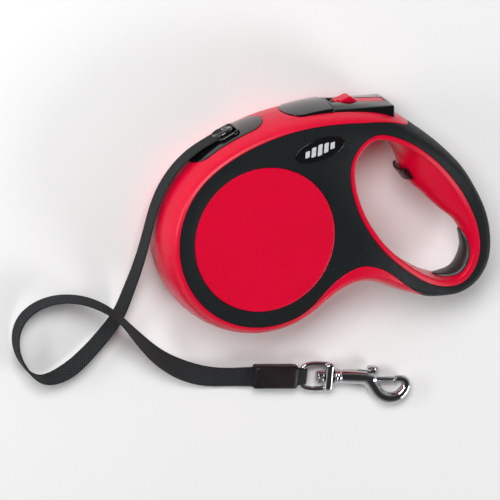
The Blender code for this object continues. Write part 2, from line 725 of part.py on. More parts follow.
def wall_patch(name, low, high, half_width, lift, thickness, finish, across=5):
    """A closed strip on the hand hole's wall between two points of its outline."""
    bm = bmesh.new()
    inner, outer = [], []
    for z in np.linspace(-half_width, half_width, across):
        side = 1 if z >= 0 else -1
        inner.append(ring_verts(bm, wall_ring(abs(z), side, lift)[low:high]))
        outer.append(ring_verts(bm, wall_ring(abs(z), side, lift + thickness)[low:high]))
    for rows in (inner, outer):
        for first, second in zip(rows, rows[1:]):
            bridge(bm, first, second, closed=False)
    for end in (0, -1):
        bridge(bm, inner[end], outer[end], closed=False)
        bridge(bm, [row[end] for row in inner], [row[end] for row in outer], closed=False)
    return mesh_object(name, bm, finish)


def nearest_hole_point(x, y):
    return int(np.argmin(np.linalg.norm(RIDGE - np.array([x, y]) * MM, axis=1)))


def make_hand_fittings():
    start = nearest_hole_point(118.4, -9)
    end = nearest_hole_point(103.3, -33.6)
    wall_patch("hand_band", start, end + 1, 14 * MM, 0.5 * MM, 1.4 * MM, "band_rubber")
    make_adjuster()


ADJUSTER_AT = Vector((86.3, 25.2)) * MM
ADJUSTER_ALONG = Vector((0.585, -0.811))     # direction it slides in
ADJUSTER_LENGTH = 7.6 * MM
ADJUSTER_HALF = 9.5 * MM


def make_adjuster():
    """A saddle across the ridge, bent back like the wall beneath it."""
    to_hole = Vector((ADJUSTER_ALONG.y, -ADJUSTER_ALONG.x))
    reach = (Vector((95.5, 27.6)) * MM - ADJUSTER_AT).length
    sections = []
    for z in np.linspace(-ADJUSTER_HALF, ADJUSTER_HALF, 7):
        back = wall_mix(abs(z)) * reach - 0.9 * MM
        corners = []
        for along, lift in ((-1, 0), (1, 0), (1, 1.5 * MM), (-1, 1.5 * MM)):
            spot = ADJUSTER_AT + ADJUSTER_ALONG * (along * ADJUSTER_LENGTH / 2) + to_hole * (lift - back)
            corners.append((spot.x, spot.y, HALF + z))
        sections.append(corners)
    mesh_object("grip_adjuster", loft(sections), "gloss_black")


# ---------- brake ----------

def button_top(x):
    """Height of the button's crown along the case."""
    return 68.6 * MM - 0.064 * (x - BUTTON_FRONT)


def make_cover():
    xs = rounded_steps(COVER_X[0], 9 * MM, COVER_X[1])
    span = COVER_X[1] - COVER_X[0]

    def high(x):
        return 0.4 * MM + 1.5 * MM * (x - COVER_X[0]) / span
    bm = rim_patch(xs, tongue(COVER_X[0], 9 * MM, BUTTON_HALF), lambda x: -1.9 * MM, high)
    mesh_object("button_cover", bm, "gloss_black")


def make_button():
    sections = []
    for x in np.linspace(BUTTON_FRONT, BUTTON_REAR, 8):
        line = float(top_line(np.array([x]))[0][0])
        crown = button_top(x)
        rear_share = (x - BUTTON_FRONT) / (BUTTON_REAR - BUTTON_FRONT)
        shoulder = crown - (2.4 - 1.3 * rear_share) * MM
        base = line - 5.4 * MM
        half = [(BUTTON_HALF, base), (BUTTON_HALF, shoulder - 0.6 * MM), (12.6 * MM, shoulder),
                (8.5 * MM, crown - 0.5 * MM), (4.8 * MM, crown - 0.1 * MM)]
        profile = half + [(-z, y) for z, y in reversed(half)]
        sections.append([(x, y, HALF + z) for z, y in profile])
    obj = mesh_object("brake_button", loft(sections), "gloss_black")
    arm = bmesh.new()
    add_box(arm, (PIN.x - 4 * MM, 56.3 * MM, HALF - 6 * MM), (BUTTON_FRONT + 1 * MM, 62.4 * MM, HALF + 6 * MM))
    boolean(obj, cutter(arm), "UNION")
    holes = bmesh.new()
    add_cylinder(holes, (PIN.x, PIN.y, 0), 1.8 * MM, HALF - 9 * MM, HALF + 9 * MM, segments=16)
    boolean(obj, cutter(holes), "DIFFERENCE")
    channel = loft([[(x, button_top(x) - depth, HALF + z) for z, depth in
                     ((-4.4 * MM, 1.9 * MM), (4.4 * MM, 1.9 * MM), (4.4 * MM, -2 * MM), (-4.4 * MM, -2 * MM))]
                    for x in (CHANNEL_X[0], CHANNEL_X[1])])
    boolean(obj, cutter(channel), "DIFFERENCE")
    pin = bmesh.new()
    add_cylinder(pin, (PIN.x, PIN.y, 0), 1.5 * MM, HALF - 12 * MM, HALF + 12 * MM, segments=16)
    mesh_object("button_hinge_pin", pin, "steel")


CHANNEL_X = (43.2 * MM, 75.2 * MM)
LOCK_X = (46.9 * MM, 74.7 * MM)
LOCK_HALF = 4.0 * MM


def make_lock_slider():
    """A strip with a thumb hump, lying in the button's channel."""
    hump = ((46.9, 0), (48.5, 0.5), (54.3, 2.8), (55.6, 2.7), (58.3, 0.6), (60, 0.0), (74.7, 0.0))
    sections = []
    for x_mm, rise in hump:
        x = x_mm * MM
        floor, crown = button_top(x) - 1.5 * MM, button_top(x) - 0.15 * MM + rise * MM
        sections.append([(x, y, HALF + z) for z, y in
                         ((-LOCK_HALF, floor), (LOCK_HALF, floor), (LOCK_HALF, crown - 0.1 * MM),
                          (LOCK_HALF * 0.7, crown), (-LOCK_HALF * 0.7, crown), (-LOCK_HALF, crown - 0.1 * MM))])
    mesh_object("lock_slider", loft(sections), "red_shell")


def pawl_direction():
    return Vector((math.cos(math.radians(PAWL_DEG)), math.sin(math.radians(PAWL_DEG)), 0))


def make_pawl():
    """A flat bar that points at the reel's axis, with a narrow tooth at its inner end."""
    along = pawl_direction()
    across = UP.cross(along)
    low, high = HALF + 8.3 * MM, HALF + 10.9 * MM
    steps = ((PAWL_IN, 1.7 * MM), (PAWL_IN + 3.2 * MM, 2.0 * MM), (PAWL_IN + 4.2 * MM, 4.0 * MM), (PAWL_OUT, 4.0 * MM))
    outline = [(r, w) for r, w in steps] + [(r, -w) for r, w in reversed(steps)]
    sections = []
    for z in (low, high):
        sections.append([tuple(along * r + across * w + UP * z) for r, w in outline])
    mesh_object("brake_pawl", loft(sections), "steel")


def helix(radius, start, end, turns, per_turn=9, axis="Y", centre=(0, 0)):
    count = int(turns * per_turn) + 1
    points = []
    for k in range(count):
        a = 2 * math.pi * k / per_turn
        run = start + (end - start) * k / (count - 1)
        side_a, side_b = centre[0] + radius * math.cos(a), centre[1] + radius * math.sin(a)
        points.append((side_a, run, side_b) if axis == "Y" else (run, side_a, side_b))
    return points


def make_button_spring():
    points = helix(2.6 * MM, 51.6 * MM, 57.6 * MM, 4, centre=(66 * MM, HALF))
    tube("button_spring", points, 0.4 * MM, "spring_steel")


# ---------- reel ----------

def lift(profile):
    """A profile in mm about the parting line, as metres above the ground."""
    return [(r * MM, HALF + z * MM) for r, z in profile]


def make_reel():
    cup, hub, reel = CUP_R / MM, HUB_R / MM, REEL_R / MM
    bore = BORE_R / MM + 0.1
    turned("reel_spool", lift([
        (bore, 6.0), (hub, 6.0), (hub, -6.6), (reel, -6.6), (reel, -8.2), (cup, -8.2), (cup, -15.8),
        (cup - 1.8, -15.8), (cup - 1.8, -8.2), (bore, -8.2)]), "acetal_white", steps=40)
    turned("reel_flange", lift([(bore, 7.8), (reel, 7.8), (reel, 6.3), (bore, 6.3)]), "acetal_white", steps=40)
    turned("wound_tape", lift([(hub + 0.4, 5.5), (ROLL_R / MM, 5.5), (ROLL_R / MM, -5.5), (hub + 0.4, -5.5)]),
           "nylon_black", steps=36)
    turned("spring_cover", lift([(7.6, -16.1), (cup - 0.5, -16.1), (cup - 0.5, -17.1), (7.6, -17.1)]),
           "grey_plastic", steps=36)
    turned("spring_arbor", lift([(bore, -8.6), (7.2, -8.6), (7.2, -17.0), (bore, -17.0)]), "steel", steps=16)
    axle = bmesh.new()
    add_cylinder(axle, (0, 0, HALF), AXLE_R, -18.4 * MM, 18.4 * MM, segments=20)
    mesh_object("reel_axle", axle, "steel")
    make_ratchet()
    make_main_spring()
    make_lead_in()


def make_ratchet():
    """A toothed ring, with a root between two teeth under the pawl."""
    pitch = 360 / RATCHET_TEETH
    corners = ((0, RATCHET_ROOT), (RATCHET_GAP_DEG, RATCHET_ROOT), (RATCHET_GAP_DEG + 3, RATCHET_TIP))
    start = PAWL_DEG - RATCHET_GAP_DEG / 2
    turns = [(math.radians(start + tooth * pitch + a), r) for tooth in range(RATCHET_TEETH) for a, r in corners]
    bm = bmesh.new()
    rings = []
    for z in (8.1 * MM, 11 * MM):
        rings.append(ring_verts(bm, [(r * math.cos(a), r * math.sin(a), HALF + z) for a, r in turns]))
        inner = RATCHET_ROOT - 4 * MM
        rings.append(ring_verts(bm, [(inner * math.cos(a), inner * math.sin(a), HALF + z) for a, _ in turns]))
    for first, second in ((0, 1), (1, 3), (3, 2), (2, 0)):
        bridge(bm, rings[first], rings[second])
    mesh_object("ratchet_ring", bm, "acetal_white")


def make_main_spring():
    """The spiral strip between the arbor and the spool's cup."""
    turns, per_turn = 5, 14
    bm = bmesh.new()
    sections = []
    for k in range(turns * per_turn + 1):
        a = 2 * math.pi * k / per_turn
        r = (8.2 + (36.8 - 8.2) * k / (turns * per_turn)) * MM
        radial = Vector((math.cos(a), math.sin(a), 0))
        sections.append([radial * (r + dr) + UP * (HALF + z * MM) for dr, z in
                         ((0, -15.3), (0.5 * MM, -15.3), (0.5 * MM, -9.0), (0, -9.0))])
    bm = loft([[tuple(p) for p in section] for section in sections])
    mesh_object("main_spring", bm, "spring_steel")


def make_lead_in():
    """The stretch of tape from the roll to the stopper, inside the case."""
    forward, out = outlet_frame()
    end = STOPPER_AT - forward * 1.0 * MM - out * (STOPPER_WIRE + 1.6 * MM)
    reach = math.hypot(end.x, end.y)
    radius = ROLL_R + 0.9 * MM
    angle = math.atan2(end.y, end.x) - math.acos(radius / reach)
    start = Vector((radius * math.cos(angle), radius * math.sin(angle), HALF))
    along = (end - start).normalized()
    across = UP.cross(along)
    sections = []
    for part in (0, 0.5, 1):
        middle = start.lerp(end, part)
        half_w, half_t = TAPE_W / 2, TAPE_T / 2
        sections.append([tuple(middle + across * t + UP * w) for t, w in
                         ((-half_t, -half_w), (half_t, -half_w), (half_t, half_w), (-half_t, half_w))])
    mesh_object("tape_lead_in", loft(sections), "nylon_black")


# ---------- tape and snap ----------

def make_tape():
    """The free tape as a flat strip that leans and turns over along its route."""
    count = 72
    points = np.array(TAPE_ROUTE, float)
    even, direction = sample_curve(points, count, closed=False)
    sections = []
    for (x, y, z, lean_deg), (dx, dy) in zip(even, direction):
        lean_angle = math.radians(lean_deg)
        side = Vector((-dy, dx, 0))
        width = side * math.cos(lean_angle) + UP * math.sin(lean_angle)
        thick = Vector((dx, dy, 0)).cross(width).normalized() * TAPE_T / 2
        width = width * TAPE_W / 2
        middle = Vector((x, y, z)) * MM
        sections.append([tuple(middle + w + t) for w, t in
                         ((width, thick), (width, -thick), (-width, -thick), (-width, thick))])
    mesh_object("leash_tape", loft(sections), "nylon_black")


def snap_frame():
    frame = bpy.data.objects.new("snap_frame", None)
    PARTS.objects.link(frame)
    frame.location = SNAP_AT
    frame.rotation_euler = (0, 0, SNAP_YAW)
    return frame


def snap_piece(obj, frame):
    obj.parent = frame
    return obj


def make_sleeve(frame):
    bm = bmesh.new()
    add_box(bm, (SLEEVE_X[0], -6.4 * MM, -3.9 * MM), (SLEEVE_X[1], 6.4 * MM, 3.9 * MM))
    bevel_all(bm, 1.2 * MM)
    snap_piece(mesh_object("tape_sleeve", bm, "sleeve_rubber"), frame)
    inner, outer, count = 1.85 * MM, 2.95 * MM, 8
    turn = [math.radians(90 - 180 * k / count) for k in range(count + 1)]
    start = SLEEVE_X[1] + GAP
    profile = [(start, outer)] + [(EYE_BAR_X + outer * math.cos(a), outer * math.sin(a)) for a in turn]
    profile += [(start, -outer), (start, -inner)]
    profile += [(EYE_BAR_X + inner * math.cos(a), inner * math.sin(a)) for a in reversed(turn)] + [(start, inner)]
    sides = [[(x, y, z) for x, z in profile] for y in (-3.9 * MM, 3.9 * MM)]
    snap_piece(mesh_object("tape_fold", loft(sides), "nylon_black"), frame)


def make_eye(frame):
    bar, side_y = EYE_BAR_X, 6.6 * MM
    points = [(6.5 * MM, side_y), (-5.4 * MM, side_y), (bar, 4.4 * MM), (bar, -4.4 * MM), (-5.4 * MM, -side_y),
              (6.5 * MM, -side_y)]
    eye = to_mesh(tube("swivel_eye", [(x, y, 0) for x, y in points], 1.4 * MM, "chrome"), "chrome")
    snap_piece(eye, frame)
    boss = bmesh.new()
    add_box(boss, (4.3 * MM, -8.1 * MM, -4.0 * MM), (9.5 * MM, 8.1 * MM, 4.0 * MM))
    bevel_all(boss, 1.0 * MM)
    boss = snap_piece(cutter(boss), frame)
    boolean(eye, boss, "UNION")
    bore = bmesh.new()
    add_cylinder(bore, (0, 0, 0), 2.4 * MM, 2 * MM, 12 * MM, axis="X", segments=16)
    boolean(eye, snap_piece(cutter(bore), frame), "DIFFERENCE")
    rivet = bmesh.new()
    rows = ((0.2, 2.6), (0.7, 3.3), (3.4, 3.3), (3.9, 2.0), (15.5, 2.0))
    add_rod(rivet, [(x * MM, r * MM) for x, r in rows], axis="X", segments=14)
    snap_piece(mesh_object("swivel_rivet", rivet, "chrome"), frame)


BOLT_Y = -1.6 * MM
# The hook's bow, in mm: x, y of its middle and its radius
HOOK_BOW = ((28.5, -1, 3.7), (31, -2.6, 3.6), (33.8, -5.8, 3.5), (36.4, -9, 3.4), (39.8, -11.4, 3.35),
            (44.3, -12.3, 3.3), (48.2, -11.3, 3.15), (51.3, -8.5, 2.9), (52.7, -4.9, 2.6), (51.6, -2.5, 2.35),
            (49.3, -1.6, 2.1), (45.6, -1.6, 1.9))


def make_hook(frame):
    points = [(x * MM, y * MM, 0) for x, y, _ in HOOK_BOW]
    hook = tube("snap_hook", points, 1 * MM, "chrome", resolution=2, radii=[r for _, _, r in HOOK_BOW])
    hook = snap_piece(to_mesh(hook, "chrome"), frame)
    barrel = bmesh.new()
    rows = ((9.9, 3.6), (10.3, 4.1), (12.8, 4.1), (13.3, 3.5), (14.4, 3.5), (15.4, 4.0), (30, 3.9), (34.3, 3.2))
    rings = [[barrel.verts.new((x * MM, BOLT_Y * min(max((x - 14) / 14, 0), 1) * 0.5 + r * MM * math.cos(a),
                                r * MM * math.sin(a))) for a in np.arange(18) * 2 * math.pi / 18] for x, r in rows]
    for first, second in zip(rings, rings[1:]):
        bridge(barrel, first, second)
    barrel.faces.new(rings[0])
    barrel.faces.new(rings[-1])
    boolean(hook, snap_piece(cutter(barrel), frame), "UNION")
    holes = bmesh.new()
    add_rod(holes, ((9 * MM, 2.35 * MM), (16 * MM, 2.35 * MM)), axis="X", segments=14)
    add_rod(holes, ((18.5 * MM, 1.75 * MM), (38 * MM, 1.75 * MM)), (0, BOLT_Y, 0), "X", 14)
    boolean(hook, snap_piece(cutter(holes), frame), "DIFFERENCE")
    slot = bmesh.new()
    add_box(slot, (23.6 * MM, BOLT_Y, -1.1 * MM), (36 * MM, 6 * MM, 1.1 * MM))
    boolean(hook, snap_piece(cutter(slot), frame), "DIFFERENCE")


def make_bolt(frame):
    rod = bmesh.new()
    add_cylinder(rod, (0, BOLT_Y, 0), 1.25 * MM, 27 * MM, 45.2 * MM, axis="X", segments=12)
    bolt = snap_piece(mesh_object("snap_bolt", rod, "chrome"), frame)
    stem = bmesh.new()
    add_box(stem, (31.4 * MM, BOLT_Y, -0.75 * MM), (33.8 * MM, 4.6 * MM, 0.75 * MM))
    boolean(bolt, snap_piece(cutter(stem), frame), "UNION")
    knob = bmesh.new()
    add_cylinder(knob, (32.6 * MM, 0, 0), 2.5 * MM, 3.9 * MM, 5.9 * MM, axis="Y", segments=14)
    boolean(bolt, snap_piece(cutter(knob), frame), "UNION")
    points = helix(1.15 * MM, 19.0 * MM, 26.4 * MM, 5, per_turn=8, axis="X", centre=(BOLT_Y, 0))
    snap_piece(tube("bolt_spring", points, 0.22 * MM, "spring_steel"), frame)


clear_scene()
PARTS = new_collection("retractable_leash")
CUTTERS = new_collection("cutters")
MATERIALS = make_materials()
OUTLINE, OUTWARD, EDGE, RIM_REACH = case_outline()
HOLE, INTO_HOLE, RIDGE = hand_hole()

make_case()
make_screws()
make_outlet()
make_stopper()
make_hand_fittings()
for piece in list(PARTS.objects):
    if piece.name.startswith(("housing", "grip", "hand", "case_screw")):
        thin_handle(piece)
make_cover()
make_button()
make_lock_slider()
make_pawl()
make_button_spring()
make_reel()
make_tape()
SNAP = snap_frame()
make_sleeve(SNAP)
make_eye(SNAP)
make_hook(SNAP)
make_bolt(SNAP)
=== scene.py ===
"""Looks for the retractable tape leash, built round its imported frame.

Every piece is in the frame's own metres. The case's numbers repeat those of the CAD part, so each finely
made piece lies where its CAD node lies.
"""

import math

import bmesh
import bpy
import numpy as np
from mathutils import Matrix, Vector


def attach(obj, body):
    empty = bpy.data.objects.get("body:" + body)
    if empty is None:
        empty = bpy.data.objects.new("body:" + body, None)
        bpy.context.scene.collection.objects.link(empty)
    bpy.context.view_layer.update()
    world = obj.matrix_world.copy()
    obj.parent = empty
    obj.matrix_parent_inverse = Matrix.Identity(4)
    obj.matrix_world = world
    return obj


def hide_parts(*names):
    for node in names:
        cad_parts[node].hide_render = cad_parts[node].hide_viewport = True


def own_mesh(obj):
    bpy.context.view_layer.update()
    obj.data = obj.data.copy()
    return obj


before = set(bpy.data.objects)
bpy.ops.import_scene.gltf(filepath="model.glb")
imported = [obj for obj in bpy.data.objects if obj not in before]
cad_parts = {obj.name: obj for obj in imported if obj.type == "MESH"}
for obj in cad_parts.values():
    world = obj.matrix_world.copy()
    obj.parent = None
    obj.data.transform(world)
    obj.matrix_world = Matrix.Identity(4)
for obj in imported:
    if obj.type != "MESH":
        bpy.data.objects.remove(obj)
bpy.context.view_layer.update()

MM = 0.001
UP = Vector((0, 0, 1))

# ---------- sizes shared with the CAD part ----------

HALF = 21.0 * MM
RIM = 6.5 * MM
BODY_R = 55.3
WALL = 1.8 * MM
INLAY = 1.4 * MM
OVERLAY = 0.9 * MM
SEAM = 0.08 * MM
DISC_R = 39.9 * MM
DISC_GAP = 0.25 * MM
RING_EDGE = 1.4 * MM
LAND = 1.8 * MM
OUTLINE_POINTS = 420
HOLE_POINTS = 260

HANDLE_OUTLINE = (
    (48, -34.5, 1.38), (57, -32, 1.55), (67, -33.5, 1.32), (79.1, -38.6, 1.0), (92.3, -43.4, 0.55),
    (99.1, -45.4, 0.2), (106.1, -46, 0), (116.4, -45.6, 0), (127.2, -40.1, 0), (134.3, -29.5, 0),
    (136, -16, 0), (133, 0.4, 0), (126.9, 13.6, 0), (120.2, 24.5, 0), (111.7, 34.2, 0), (103.2, 42.2, 0),
    (93, 50.3, 0), (88.4, 53.7, 0.02), (85.4, 55.9, 0.46), (82, 58.2, 0.6), (76, 61.3, 0.7),
    (70, 63.5, 0.82), (57, 65.8, 0.96), (42, 66.8, 1), (28, 66.3, 1), (14, 64.4, 1), (0, 60.8, 1),
    (-13, 56.0, 1), (-24, 50.4, 1),
)
HAND_HOLE = (
    (58.5, 46.2, 59.2, 45.2), (64.5, 49.2, 65, 48.2), (73, 47.6, 74.6, 45.9), (82.2, 43.1, 81.6, 38.2),
    (91.6, 36.3, 84.5, 29.3), (99.8, 28.9, 89.4, 20.3), (106.6, 21.3, 95.5, 14.1), (112.9, 12.9, 102, 7.8),
    (117.4, 5.2, 108.4, 1.7), (121.3, -3.2, 115.4, -4.4), (123.7, -12, 120, -12.2),
    (124.3, -19.5, 121.6, -19.4), (122, -28.4, 119.2, -27.6), (116.6, -34.7, 114.8, -32.5),
    (107.6, -35.6, 107, -34.4), (96.7, -31.6, 96.4, -31), (87.4, -25.6, 87.3, -25.3),
    (78.5, -18.6, 78.7, -18.4), (70.3, -10.7, 70.7, -10.4), (63.2, -1.5, 63.8, -1.2),
    (57.8, 8, 58.6, 8.3), (54, 18, 54.9, 18.1), (52, 28, 53, 28), (52.8, 38, 53.7, 37.7),
)
HANDLE_DIRECTION = Vector((0.97, -0.243, 0))
THINNING = ((61, 1.0), (69, 0.97), (78, 0.9), (110, 0.53), (120, 0.46), (136, 0.44))
HANDLE_CUTS = np.arange(56, 141, 2.5) * MM     # where a piece of the handle is cut before it is thinned
SCREWS = ((58, -25, 18.7), (124.4, 6, 15.2), (105, 32.3, 15.2), (97, -38, 15.2), (8, 55.3, 18.7))
SINK_R = 2.3 * MM
SINK_FLOOR = 14.2 * MM

BUTTON_FRONT = 41.9 * MM
BUTTON_REAR = 76.9 * MM
BUTTON_HALF = 13.3 * MM
SLOT_HALF = 13.8 * MM
COVER_X = (16.6 * MM, 41.5 * MM)
NOZZLE_X = (-36.0 * MM, 5.2 * MM)
NOZZLE_HALF = 11.6 * MM
STOPPER_AT = Vector((-15.2, 55.9, 21.0)) * MM
STOPPER_LEAN = math.radians(-14)
TROUGH_X = (43.2 * MM, 75.2 * MM)
STUD_X = 44.2 * MM
PIN = Vector((24.0, 59.3)) * MM

BADGE_AT = Vector((31.3, 47.2, 0)) * MM
BADGE_TURN = math.radians(15)
BADGE_HALF = (14.5 * MM, 6.0 * MM)
BADGE_BARS = ((-7.4, 1.7), (-3.7, 2.5), (0, 2.9), (3.7, 2.5), (7.4, 1.7))     # mm: place, half height
BAR_HALF = 1.25

ADJUSTER_AT = Vector((86.3, 25.2)) * MM
ADJUSTER_EDGE = Vector((95.5, 27.6)) * MM
ADJUSTER_ALONG = Vector((0.585, -0.811))
ADJUSTER_HALF = 3.8

WEAVE_PITCH = 1.5      # mm along the tape
WEAVE_FOLD = 2.75      # mm across the tape between the chevron's points
WEAVE_DEPTH = 0.09 * MM

TAPE_W = 11.0 * MM
TAPE_T = 1.1 * MM
TAPE_ROUTE = (
    (-20.6, 54.0, 21, 90), (-27.5, 50.8, 21, 90), (-35, 46.4, 21, 90), (-42.3, 40.2, 21, 90),
    (-50.2, 29.5, 20.5, 89), (-55.4, 17, 19.5, 88), (-58.5, 4, 18, 87), (-61, -8, 16, 85),
    (-63.6, -20, 12.6, 82), (-66.6, -32, 8.6, 79), (-71.3, -44.5, 6.1, 75), (-79, -54.5, 5.9, 71),
    (-90, -65.5, 5.9, 66), (-104, -75, 5.7, 64), (-114.5, -76.4, 5.8, 78), (-123.5, -69.5, 5.9, 87),
    (-129.3, -56, 5.9, 90), (-126.6, -42.5, 6.6, 92), (-116, -33.6, 9, 95), (-101, -31, 12.8, 100),
    (-87, -34.6, 17.2, 106), (-74.5, -43.4, 19.2, 110), (-68, -50.4, 17.4, 117), (-60.5, -58.5, 13.8, 127),
    (-49.5, -69, 9.2, 139), (-37, -77.5, 5.6, 155), (-20, -84.3, 3.4, 182), (-6, -86.2, 3.4, 192),
    (6.6, -87.0, 4.2, 182),
)

SNAP = Matrix.Translation(Vector((43.0, -90.3, 4.2)) * MM) @ Matrix.Rotation(math.radians(-5.4), 4, "Z")
EYE_BAR_X = -8.2
SLEEVE_X = (-36.1, -11.4)
BOLT_Y = -1.6
BOLT_HOLE = 1.72
RIVET_R = 2.0
BUTTON_COIL = (51.6 * MM, 57.6 * MM)
BOLT_COIL = (19.0, 26.4)


# ---------- camera, floor, light ----------

TURN = math.radians(20.0)
TILT = math.radians(15.5)
VIEW_BACK = Vector((-math.sin(TURN) * math.cos(TILT), math.sin(TILT), math.cos(TURN) * math.cos(TILT)))
VIEW_RIGHT = Vector((math.cos(TURN), 0, math.sin(TURN)))
VIEW_UP = VIEW_BACK.cross(VIEW_RIGHT)
FRAME_WIDTH = 268.5 * MM      # what the picture spans at the object
DISTANCE = 10.0
AIM_LEFT = 8.14 * MM
AIM_DOWN = 5.37 * MM


def make_camera():
    data = bpy.data.cameras.new("camera")
    data.sensor_width = 36
    data.lens = 36 * DISTANCE / FRAME_WIDTH
    camera = bpy.data.objects.new("camera", data)
    target = Vector((0, 0, 2 * HALF)) - VIEW_RIGHT * AIM_LEFT - VIEW_UP * AIM_DOWN
    camera.matrix_world = Matrix.Translation(target + VIEW_BACK * DISTANCE) @ Matrix(
        (VIEW_RIGHT, VIEW_UP, VIEW_BACK)).transposed().to_4x4()
    bpy.context.scene.collection.objects.link(camera)
    bpy.context.scene.camera = camera


def area_light(name, place_at, aim, size, power):
    data = bpy.data.lights.new(name, "AREA")
    data.shape = "RECTANGLE"
    data.size, data.size_y = size
    data.energy = power
    lamp = bpy.data.objects.new(name, data)
    back = (Vector(place_at) - Vector(aim)).normalized()
    lamp.matrix_world = Matrix.Translation(place_at) @ back.to_track_quat("Z", "Y").to_matrix().to_4x4()
    bpy.context.scene.collection.objects.link(lamp)


def make_sky():
    """A studio sky that is bright low down and nearly dark overhead, so flat glossy faces stay dark."""
    world = bpy.data.worlds.new("studio")
    bpy.context.scene.world = world
    world.use_nodes = True
    tree = world.node_tree
    spot = tree.nodes.new("ShaderNodeTexCoord")
    parts = tree.nodes.new("ShaderNodeSeparateXYZ")
    fade = tree.nodes.new("ShaderNodeMapRange")
    tree.links.new(spot.outputs["Generated"], parts.inputs["Vector"])
    tree.links.new(parts.outputs["Z"], fade.inputs["Value"])
    for socket, number in (("From Min", 0.1), ("From Max", 0.75), ("To Min", 0.65), ("To Max", 0.05)):
        fade.inputs[socket].default_value = number
    tree.links.new(fade.outputs["Result"], tree.nodes["Background"].inputs["Strength"])
    tree.nodes["Background"].inputs["Color"].default_value = (1, 1, 1, 1)


def make_stage():
    bm = bmesh.new()
    bmesh.ops.create_grid(bm, x_segments=8, y_segments=8, size=3)
    floor = make_object("studio_floor", bm, "floor")
    floor.location.z = -0.0004
    make_sky()
    bpy.context.scene.view_settings.view_transform = "Standard"
    area_light("left_softbox", (-0.95, 0.15, 0.46), (-0.03, 0, 0.02), (0.55, 0.13), 3.0)
    area_light("top_softbox", (-0.4, 0.62, 1.05), (0.02, 0, 0.02), (0.9, 0.45), 13.0)
    area_light("right_softbox", (0.9, -0.55, 0.5), (0.05, 0, 0.02), (0.5, 0.3), 5.5)


# ---------- materials ----------

MATERIALS = {}


class Nodes:
    """A Principled material with short ways to add what drives its sockets."""

    def __init__(self, name, colour, roughness, metallic=0.0, **uniform):
        self.material = bpy.data.materials.new(name)
        self.material.use_nodes = True
        self.tree = self.material.node_tree
        self.shader = self.tree.nodes["Principled BSDF"]
        self.shader.inputs["Base Color"].default_value = (*colour, 1)
        self.shader.inputs["Roughness"].default_value = roughness
        self.shader.inputs["Metallic"].default_value = metallic
        for socket, value in uniform.items():
            self.shader.inputs[socket.replace("_", " ")].default_value = value
        MATERIALS[name] = self.material

    def add(self, kind, **settings):
        node = self.tree.nodes.new(kind)
        for key, value in settings.items():
            if key in node.inputs:
                node.inputs[key].default_value = value
            else:
                setattr(node, key, value)
        return node

    def link(self, source, target):
        self.tree.links.new(source, target)

    def place(self, output="Object"):
        return self.add("ShaderNodeTexCoord").outputs[output]

    def noise(self, scale, detail=2.0, rough=0.5, stretch=(1, 1, 1), at=None):
        mapping = self.add("ShaderNodeMapping")
        mapping.inputs["Scale"].default_value = stretch
        self.link(at or self.place(), mapping.inputs["Vector"])
        node = self.add("ShaderNodeTexNoise", Scale=scale, Detail=detail, Roughness=rough)
        self.link(mapping.outputs["Vector"], node.inputs["Vector"])
        return node.outputs["Fac"]

    def spread(self, value, low, high, start=0.3, end=0.7):
        node = self.add("ShaderNodeMapRange")
        for socket, number in (("From Min", start), ("From Max", end), ("To Min", low), ("To Max", high)):
            node.inputs[socket].default_value = number
        self.link(value, node.inputs["Value"])
        return node.outputs["Result"]

    def tint(self, value, first, second):
        node = self.add("ShaderNodeMix", data_type="RGBA")
        self.link(value, node.inputs["Factor"])
        node.inputs[6].default_value = (*first, 1)
        node.inputs[7].default_value = (*second, 1)
        self.link(node.outputs[2], self.shader.inputs["Base Color"])

    def mottle(self, first, second, *grain):
        self.tint(self.spread(self.noise(*grain), 0, 1), first, second)

    def rough(self, low, high, *grain, **more):
        self.link(self.spread(self.noise(*grain, **more), low, high), self.shader.inputs["Roughness"])

    def bump(self, strength, distance, *grain, **more):
        node = self.add("ShaderNodeBump", Strength=strength, Distance=distance)
        self.link(self.noise(*grain, **more), node.inputs["Height"])
        self.link(node.outputs["Normal"], self.shader.inputs["Normal"])

    def math(self, operation, first, second=None):
        """The result of a math node. Each operand is a number or a socket."""
        node = self.add("ShaderNodeMath", operation=operation)
        for socket, operand in zip(node.inputs, (first, second)):
            if isinstance(operand, (int, float)):
                socket.default_value = operand
            elif operand:
                self.link(operand, socket)
        return node.outputs[0]


def scaled(colour, by):
    return tuple(part * by for part in colour)


